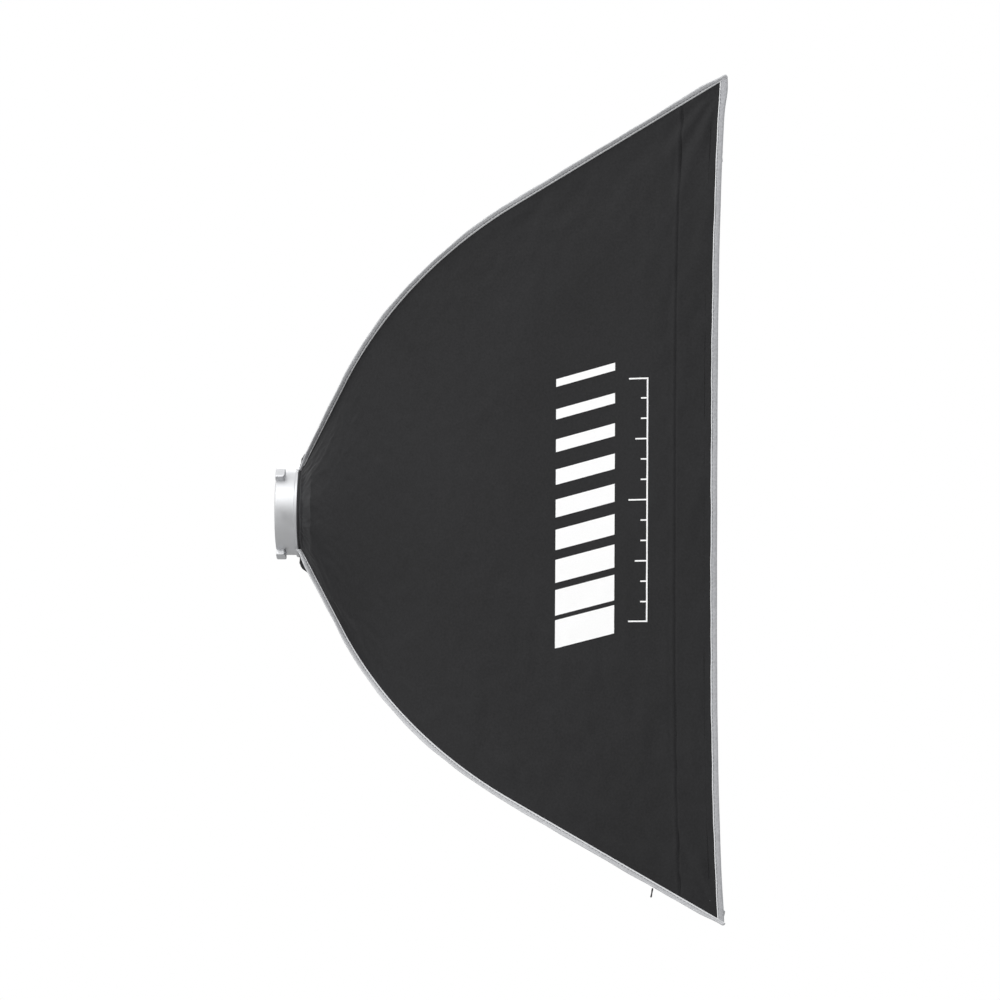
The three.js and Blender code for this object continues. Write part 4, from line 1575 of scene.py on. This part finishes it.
@dataclass
class FrontLip:
    """Loop tape sewn inside the front edge, and the sewn corner pockets."""

    depth: float = 56.0
    tape_width: float = 42.0
    under_cloth: float = 1.15
    tape: float = 0.9
    reach: float = 0.93
    pocket_end: float = 5.5
    pocket_length: float = 32.5
    offset: float = 11.0

    def loop_tape(self, side: Side, stitches: StitchRows) -> None:
        """Makes one length of loop tape, its pile standing in soft uneven tufts.

        Args:
            side: which panel.
            stitches: what collects its rows of stitches.
        """
        v = np.linspace(-self.reach, self.reach, int(SHAPE.half_of(side) / 2.4))
        start = SHAPE.length - self.depth
        cross = np.linspace(0, self.tape_width, 14)
        rng = np.random.default_rng(SEED + 20 + list(Side).index(side))
        pile = rng.uniform(-0.22, 0.22, (len(v), len(cross)))
        pile[:, [0, -1]] = -0.35
        pile[[0, -1]] = -0.35
        bottom = np.full((len(v), len(cross)), self.under_cloth)
        top = self.under_cloth + self.tape + pile
        along = np.concatenate([start + cross, start + cross[::-1]])
        depths = np.concatenate([top, bottom[:, ::-1]], axis=1)
        loops = SHAPE.under(side, along[None, :], v[:, None], depths)
        piece = tube_of_loops(f"lip_tape_{side.label}", loops, [LOOP_PILE], sharp=50)
        keep_piece(piece, SOFTBOX, f"loop_tape_{side.label}")
        for place in (2.0, self.tape_width - 2.0):
            stitches.add(SHAPE.under(side, start + place, v[2:-2], -0.1))

    def pocket(self, corner: Corner) -> None:
        """Makes one corner pocket: a webbing sleeve that is squashed flat and sewn shut at the front.

        Args:
            corner: which corner.
        """
        end = SHAPE.length - self.pocket_end
        stations = np.array([0, 0.01, 0.5, 0.75, 0.9, 0.985, 1.0])
        wide = np.array([4.2, 4.5, 4.6, 4.7, 4.9, 4.8, 4.4])
        tall = np.array([4.2, 4.5, 4.5, 4.2, 2.6, 1.5, 1.1])
        fine = np.linspace(0, 1, 30)
        w, h = np.interp(fine, stations, wide), np.interp(fine, stations, tall)
        turn = np.linspace(0, 2 * math.pi, 28, endpoint=False)
        cos, sin = np.cos(turn), np.sin(turn)
        soft = (np.abs(cos) ** 2.4 + np.abs(sin) ** 2.4) ** (-1 / 2.4)
        frames = SHAPE.seam(corner, end - self.pocket_length * (1 - fine))
        outs = -self.offset + h[:, None] * (cos * soft)[None, :]
        loops = frames.near(outs, w[:, None] * (sin * soft)[None, :])
        uvs = strip_map(fine * self.pocket_length, turn * 5)
        piece = tube_of_loops(f"pocket_sleeve_{corner.value[0]}", loops, [GREY_TAPE], uvs, sharp=60)
        keep_piece(piece, SOFTBOX, f"corner_pocket_{corner.value[0]}")

    def build(self, stitches: StitchRows) -> None:
        """Makes all the lip's pieces.

        Args:
            stitches: what collects rows of stitches.
        """
        for side in Side:
            self.loop_tape(side, stitches)
        for corner in Corner:
            self.pocket(corner)


# ---------------------------------------------------------------- diffuser


@dataclass
class FrontDiffuser:
    """White cloth across the front, sewn to a border of hook tape that presses onto the lip."""

    lip_depth: float = 56.0
    border_start: float = 2.0
    border_width: float = 18.0
    border_depth: float = 2.3
    border: float = 1.0
    crown: float = 4.0
    corner: float = 26.0
    thickness: float = 0.5
    tab_width: float = 22.0
    tab_length: float = 26.0

    @property
    def along(self) -> float:
        """The length along the seam where the cloth meets its border."""
        return SHAPE.length - self.lip_depth + self.border_start

    def outline(self, count: int = 64) -> Array:
        """The line where the cloth meets its border: four sides with rounded corners.

        Args:
            count: how many points each side has.

        Returns:
            Points round the loop, in millimetres.
        """
        v = np.linspace(-0.93, 0.93, count)
        depth = self.border_depth + self.border
        order = ((Side.BOTTOM, 1), (Side.FAR, 1), (Side.TOP, -1), (Side.NEAR, -1))
        sides = [SHAPE.under(side, self.along, v * turn, depth) for side, turn in order]
        loop = []
        for i, points in enumerate(sides):
            following = sides[(i + 1) % 4]
            loop.append(points)
            start, end = points[-1], following[0]
            corner = np.array([(start[0] + end[0]) / 2, *self._corner(start, end)])
            t = np.linspace(0, 1, 10)[1:-1, None]
            loop.append((1 - t) ** 2 * start + 2 * t * (1 - t) * corner + t**2 * end)
        return np.vstack(loop)

    @staticmethod
    def _corner(start: Array, end: Array) -> tuple[float, float]:
        """Where two sides would meet, drawn a little way in."""
        y = max(start[1], end[1], key=abs)
        z = max(start[2], end[2], key=abs)
        return 0.99 * float(y), 0.99 * float(z)

    def cloth(self) -> None:
        """Makes the cloth: it follows its border at the edge and is nearly flat in the middle."""
        edge = self.outline()
        rings = 46
        share = np.linspace(0, 1, rings) ** 0.85
        flat_x = edge[:, 0].mean()
        rows = []
        for s in share[1:]:
            ring = edge * s
            bearing = np.arctan2(edge[:, 2], edge[:, 1])
            gathers = 0.55 * np.sin(np.arange(len(edge)) * 0.9 + np.sin(bearing * 5))
            gathers = gathers * max(0.0, (s - 0.9) / 0.1) * (1.02 - s) * 12
            slack = 0.9 * np.sin(edge[:, 1] * s / 60 + 0.5) * np.cos(edge[:, 2] * s / 85) * (1 - s**4)
            pull = 1.1 * np.sin(bearing * 14) * np.exp(-((1 - s) * 7)) * (1 - s) * 4
            ring[:, 0] = flat_x + (edge[:, 0] - flat_x) * s**3 + self.crown * (1 - s * s)
            ring[:, 0] += gathers + slack + pull
            rows.append(ring)
        grid = np.array(rows)
        count_rows, count = grid.shape[:2]
        middle = grid[0].mean(axis=0)[None]
        face = np.vstack([middle, grid.reshape(-1, 3)])
        total = len(face)
        quads = [tuple(q) for q in grid_faces(count_rows, count, closed=True, start=1)]
        fan = [(0, 1 + i, 1 + (i + 1) % count) for i in range(count)]
        quads = [tuple(q) for q in facing(np.array(quads), face, (1, 0, 0))]
        fan = [tuple(f) for f in facing(np.array(fan), face, (1, 0, 0))]
        front = quads + fan
        back = [tuple(i + total for i in reversed(f)) for f in front]
        last = 1 + (count_rows - 1) * count
        used = {(int(q[i]), int(q[(i + 1) % len(q)])) for q in quads for i in range(len(q))}
        rim = []
        for i in range(count):
            p, q = last + i, last + (i + 1) % count
            rim.append((q, p, p + total, q + total) if (p, q) in used else (p, q, q + total, p + total))
        points = np.vstack([face, face - np.array([self.thickness, 0, 0])])
        piece = mesh_piece("diffuser_sheet", points, front + back + rim, [WHITE_DIFFUSER], sharp=70)
        keep_piece(piece, DIFFUSER, "diffuser_cloth")

    def borders(self, stitches: StitchRows) -> None:
        """Makes the four lengths of hook tape.

        Args:
            stitches: what collects rows of stitches.
        """
        low, high = self.border_depth, self.border_depth + self.border
        wide, c = self.border_width, 0.4
        section = [(0, low), (wide - c, low), (wide, low + c), (wide, high - c), (wide - c, high), (c, high)]
        forward, depth = np.array([*section, (0, high - c)]).T
        for side in Side:
            half = SHAPE.half_of(side)
            v = np.linspace(-0.9, 0.9, int(half / 3))
            lift = 0.15 * np.sin(v * half / 17 + list(Side).index(side)) * 0.5
            depths = depth[None, :] + lift[:, None]
            loops = SHAPE.under(side, self.along + forward[None, :], v[:, None], depths)
            uvs = strip_map(v * half, girth_of(forward, depth))
            piece = tube_of_loops(f"hook_tape_{side.label}", loops, [WHITE_TAPE], uvs, sharp=50)
            keep_piece(piece, DIFFUSER, f"hook_border_{side.label}")
            for place in (2.2, self.border_width - 2.0):
                stitches.add(SHAPE.under(side, self.along + place, v[2:-2], high + 0.08 + lift[2:-2]))

    def pull_tab(self) -> None:
        """Makes the ribbon tab that the diffuser is peeled off by: a loop folded flat."""
        low, high = box_of("diffuser_pull_tab")
        z = (low[2] + high[2]) / 2
        t = np.linspace(0, math.pi, 12)
        length = self.tab_length
        upper = [(s, 0.75 + 0.35 * math.sin(s / length * math.pi)) for s in np.linspace(-2.5, length - 3, 14)]
        fold = [(length - 3 + 1.6 * math.sin(a), 0.75 * math.cos(a)) for a in t[1:-1]]
        lower = [(s, -h) for s, h in reversed(upper)]
        line = np.array(upper + fold + lower)
        ahead = np.gradient(line, axis=0)
        ahead /= np.linalg.norm(ahead, axis=1, keepdims=True)
        across = np.stack([-ahead[:, 1], ahead[:, 0]], axis=1) * 0.25
        loops = []
        for centre, offset in zip(line, across):
            corners = []
            for side, layer in ((-1, 1), (1, 1), (1, -1), (-1, -1)):
                x, up = centre + offset * layer
                corners.append((low[0] + x, side * self.tab_width / 2, z + up))
            loops.append(corners)
        uvs = strip_map(girth_of(line[:, 0], line[:, 1]), np.array([0, 22, 22.5, 0.5]))
        piece = tube_of_loops("ribbon_pull_tab", np.array(loops), [BLACK_RIBBON], uvs, sharp=50)
        keep_piece(piece, DIFFUSER, "diffuser_pull_tab")

    def build(self, stitches: StitchRows) -> None:
        """Makes the whole diffuser.

        Args:
            stitches: what collects rows of stitches.
        """
        self.cloth()
        self.borders(stitches)
        self.pull_tab()


# ---------------------------------------------------------------- inner baffle


@dataclass
class InnerBaffle:
    """A smaller white cloth halfway, held by eight elastic straps with snap buttons."""

    x: float = 250.0
    half_width: float = 165.0
    half_height: float = 275.0
    thickness: float = 0.6
    snap_radius: float = 5.5
    snap_inset: float = 9.0
    strap_overlap: float = 6.0
    corner_inset: float = 5.3

    def cloth(self) -> None:
        """Makes the cloth, drawn into shallow curves between its straps."""
        columns, rows = np.linspace(-1, 1, 61), np.linspace(-1, 1, 91)
        u, w = np.meshgrid(columns, rows, indexing="xy")
        scallop_y = 4.0 * np.abs(np.sin(w * math.pi)) * np.abs(u) ** 3
        scallop_z = 4.0 * np.abs(np.sin(u * math.pi)) * np.abs(w) ** 3
        y = u * self.half_width - np.sign(u) * scallop_y
        z = w * self.half_height - np.sign(w) * scallop_z
        x = self.x + 0.9 * np.sin(y / 38) * np.cos(z / 52) + 0.5 * np.sin((y + z) / 21)
        edge = np.minimum(1 - np.abs(u), 1 - np.abs(w))
        thick = self.thickness + 0.9 * (1 - smoothstep(edge, 0.03, 0.045))
        front = np.stack([x + thick / 2, y, z], axis=-1)
        back = np.stack([x - thick / 2, y, z], axis=-1)
        total = u.size
        points = np.vstack([front.reshape(-1, 3), back.reshape(-1, 3)])
        faces = facing(grid_faces(*u.shape), points, (1, 0, 0))
        faces = np.vstack([faces, faces[:, ::-1] + total, rim_faces(*u.shape, total, faces)])
        uv = np.stack([y, z], axis=-1).reshape(-1, 2) * MM
        piece = mesh_piece("baffle_sheet", points, faces, [WHITE_DIFFUSER], uvs=np.vstack([uv, uv]))
        keep_piece(piece, SOFTBOX, "baffle_cloth")

    def strap(self, node: str, start: Array, end: Array) -> None:
        """Makes one elastic strap with a snap button near its outer end.

        Args:
            node: the frame's strap that it stands for.
            start: where it leaves the cloth.
            end: where it is held.
        """
        way = (end - start) / np.linalg.norm(end - start)
        side = np.array([0, -way[2], way[1]])
        steps = np.linspace(0, 1, 14)
        loops = []
        for s in steps:
            centre = start - way * self.strap_overlap + (end - start + way * 5.5) * s
            beside = side * (7.5 - 0.8 * math.sin(s * math.pi))
            raised = np.array([0.6, 0, 0])
            loops.append([centre + beside * i + raised * j for i, j in ((-1, 1), (1, 1), (1, -1), (-1, -1))])
        length = float(np.linalg.norm(end - start)) + self.strap_overlap
        uvs = strip_map(steps * length, np.array([0.0, 15, 15.5, 0.5]))
        name = node.replace("baffle_strap", "elastic_strap")
        keep_piece(tube_of_loops(name, np.array(loops), [WHITE_ELASTIC], uvs), SOFTBOX, node)
        self.snap(node.replace("baffle_strap", "snap_button"), end - way * self.snap_inset)

    def snap(self, name: str, centre: Array) -> None:
        """Makes one snap button: a low dome on a strap.

        Args:
            name: the piece's name.
            centre: where it sits.
        """
        full, tiny = self.snap_radius, 0.01
        profile = [(0.7, tiny), (0.7, full), (1.3, full - 0.3), (1.9, full - 2), (2.1, tiny)]
        turn = np.linspace(0, 2 * math.pi, 24, endpoint=False)
        rings = [[centre + (x, r * math.cos(a), r * math.sin(a)) for a in turn] for x, r in profile]
        snap = tube_of_loops(name, np.array(rings), [BLACK_NYLON_PLASTIC], sharp=30)
        keep_piece(snap, SOFTBOX)

    def build(self) -> None:
        """Makes the cloth and all its straps."""
        self.cloth()
        for side in Side:
            node = f"baffle_strap_{side.label}"
            low, high = box_of(node)
            start, end = np.array([self.x, 0.0, 0.0]), np.array([self.x, 0.0, 0.0])
            inner, outer = (low, high) if side.sign > 0 else (high, low)
            start[side.out], end[side.out] = inner[side.out], outer[side.out]
            self.strap(node, start, end)
        for corner in Corner:
            number, side_y, side_z = corner.value
            node = f"baffle_strap_corner_{number}"
            low, high = box_of(node)
            way = np.array([0, side_y, side_z])
            inner, outer = np.where(way > 0, low, high), np.where(way > 0, high, low)
            inner[0] = outer[0] = self.x
            self.strap(node, inner + way * self.corner_inset, outer - way * self.corner_inset)


# ---------------------------------------------------------------- ribbon tab


@dataclass
class RibbonTab:
    """A short length of narrow black ribbon that hangs from the near lower seam."""

    width: float = 1.6
    lean: float = 1.6
    set_back: float = 2.0
    trim: float = 2.4

    def build(self) -> None:
        """Makes the ribbon, folded double and leaning a little to the rear."""
        low, high = box_of("ribbon_tab")
        middle = (low + high) / 2
        loops = []
        for s in np.linspace(0, 1, 10):
            x = middle[0] - self.lean * s**1.2 - self.set_back
            z = high[2] + 1.0 + (low[2] - high[2] + self.trim) * s
            w = self.width / 2 * (1 + 0.15 * math.sin(s * 9))
            loops.append([(x - w, low[1], z), (x - w, high[1], z), (x + w, high[1], z), (x + w, low[1], z)])
        ribbon = bevelled(tube_of_loops("hanging_ribbon", np.array(loops), [BLACK_RIBBON], sharp=50), 0.3)
        keep_piece(ribbon, SOFTBOX, "ribbon_tab")


# ---------------------------------------------------------------- studio


@dataclass
class Studio:
    """A plain pale floor, soft light and the camera."""

    look_at: tuple[float, float, float] = (0.2293, 0.0, 0.0136)
    distance: float = 5.0
    azimuth: float = 2.4
    elevation: float = -3.2
    roll: float = 0.33
    lens: float = 159.2
    light_above: float = 0.94
    light_below: float = 0.2
    floor_drop: float = 0.9
    floor_radius: float = 8.5

    def camera(self) -> None:
        """Places the camera: nearly square on to the long side, and a little below the axis."""
        data = bpy.data.cameras.new("camera")
        data.lens = self.lens
        data.sensor_width = 36.0
        data.clip_end = 50.0
        camera = bpy.data.objects.new("camera", data)
        a, e = math.radians(self.azimuth), math.radians(self.elevation)
        towards = Vector((math.sin(a) * math.cos(e), -math.cos(a) * math.cos(e), math.sin(e)))
        camera.location = Vector(self.look_at) + towards * self.distance
        tilt = Quaternion((0, 0, 1), math.radians(self.roll))
        camera.rotation_euler = (towards.to_track_quat("Z", "Y") @ tilt).to_euler()
        bpy.context.scene.collection.objects.link(camera)
        bpy.context.scene.camera = camera

    def light(self, name: str, place: tuple[float, float, float], size: float, power: float) -> None:
        """Hangs one large square light that faces the softbox.

        Args:
            name: its name.
            place: where it hangs, in metres.
            size: its side, in metres.
            power: its power in watts.
        """
        data = bpy.data.lights.new(name, "AREA")
        data.shape = "SQUARE"
        data.size = size
        data.energy = power
        lamp = bpy.data.objects.new(name, data)
        lamp.location = place
        lamp.rotation_euler = (Vector(place) - Vector(self.look_at)).to_track_quat("Z", "Y").to_euler()
        bpy.context.scene.collection.objects.link(lamp)

    def world(self) -> None:
        """Makes the surroundings: white to look at, and as a light brighter above than below."""
        world = bpy.data.worlds.new("white_room")
        world.use_nodes = True
        tree = world.node_tree
        tree.nodes.clear()
        seen = add_node(tree, "ShaderNodeBackground", values={"Color": (1, 1, 1, 1), "Strength": 1.0})
        ways = add_node(tree, "ShaderNodeTexCoord").outputs["Generated"]
        height = add_node(tree, "ShaderNodeSeparateXYZ", links={0: ways}).outputs[2]
        rise = {"From Min": -0.6, "From Max": 0.7, "To Min": self.light_below, "To Max": self.light_above}
        smooth = {"interpolation_type": "SMOOTHSTEP"}
        power = add_node(tree, MAP_RANGE, smooth, rise, {"Value": height}).outputs[0]
        lit = add_node(tree, "ShaderNodeBackground", None, {"Color": (1, 1, 1, 1)}, {"Strength": power})
        direct = add_node(tree, "ShaderNodeLightPath").outputs["Is Camera Ray"]
        layers = {0: direct, 1: lit.outputs[0], 2: seen.outputs[0]}
        both = add_node(tree, "ShaderNodeMixShader", links=layers)
        add_node(tree, "ShaderNodeOutputWorld", links={"Surface": both.outputs[0]})
        bpy.context.scene.world = world

    def floor(self) -> None:
        """Lays the floor well below the softbox."""
        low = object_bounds()[0][2] - self.floor_drop
        turn = np.linspace(0, 2 * math.pi, 64, endpoint=False)
        edge = [(self.floor_radius * math.cos(t), self.floor_radius * math.sin(t), low) for t in turn]
        mesh = bpy.data.meshes.new("floor")
        mesh.from_pydata(edge, [], [tuple(range(len(edge)))])
        mesh.materials.append(STUDIO_FLOOR.material())
        floor = bpy.data.objects.new("floor", mesh)
        bpy.context.scene.collection.objects.link(floor)
        floor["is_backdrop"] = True

    def build(self) -> None:
        """Sets up the whole studio."""
        self.camera()
        self.world()
        self.floor()
        self.light("key", (-1.1, -1.3, 1.3), 2.0, 25)
        self.light("rear_fill", (-2.0, -1.7, -1.1), 1.4, 22)
        self.light("front_fill", (2.6, 0.6, 0.9), 1.8, 12)
        self.light("far_fill", (0.0, 2.2, 1.5), 2.0, 20)
        bpy.context.scene.view_settings.view_transform = "Standard"
        LOG.info("studio")


# ---------------------------------------------------------------- assembly


def build_fabric(grey: StitchRows, black: StitchRows) -> None:
    """Makes the panels, their print, bindings and hems.

    Args:
        grey: what collects rows of grey stitches.
        black: what collects rows of black stitches.
    """
    cloths = {side: FabricPanel(side).build() for side in Side}
    PanelPrint(Side.NEAR).build(cloths[Side.NEAR])
    for corner in Corner:
        SeamBinding(corner).build(grey)
    for side in Side:
        FrontHem(side).build(grey)
        v = np.linspace(-0.985, 0.985, int(SHAPE.half_of(side) / 3))
        black.add(SHAPE.under(side, SHAPE.length - FabricPanel.lip_seam, v, 0.3))


def main() -> None:
    """Builds every sub-assembly in order."""
    logging.basicConfig(level=logging.INFO, format="%(name)s: %(message)s")
    Studio().build()
    BayonetInsert().build()
    SpeedringSet().dress()
    SpringRods().build()
    # The grey thread's dark colour is painted shade of the tape's stitch grooves.
    grey = StitchRows("tape_stitches", SOFTBOX, GROOVE_SHADED_THREAD)
    black = StitchRows("panel_stitches", SOFTBOX, BLACK_THREAD, pitch=3.4, length=2.6, radius=0.3)
    white = StitchRows("diffuser_stitches", DIFFUSER, WHITE_THREAD, pitch=4.0, length=3.0, radius=0.3)
    build_fabric(grey, black)
    FrontLip().build(black)
    FrontDiffuser().build(white)
    InnerBaffle().build()
    RibbonTab().build()
    for rows in (grey, black, white):
        rows.build()


if __name__ == "__main__":
    main()
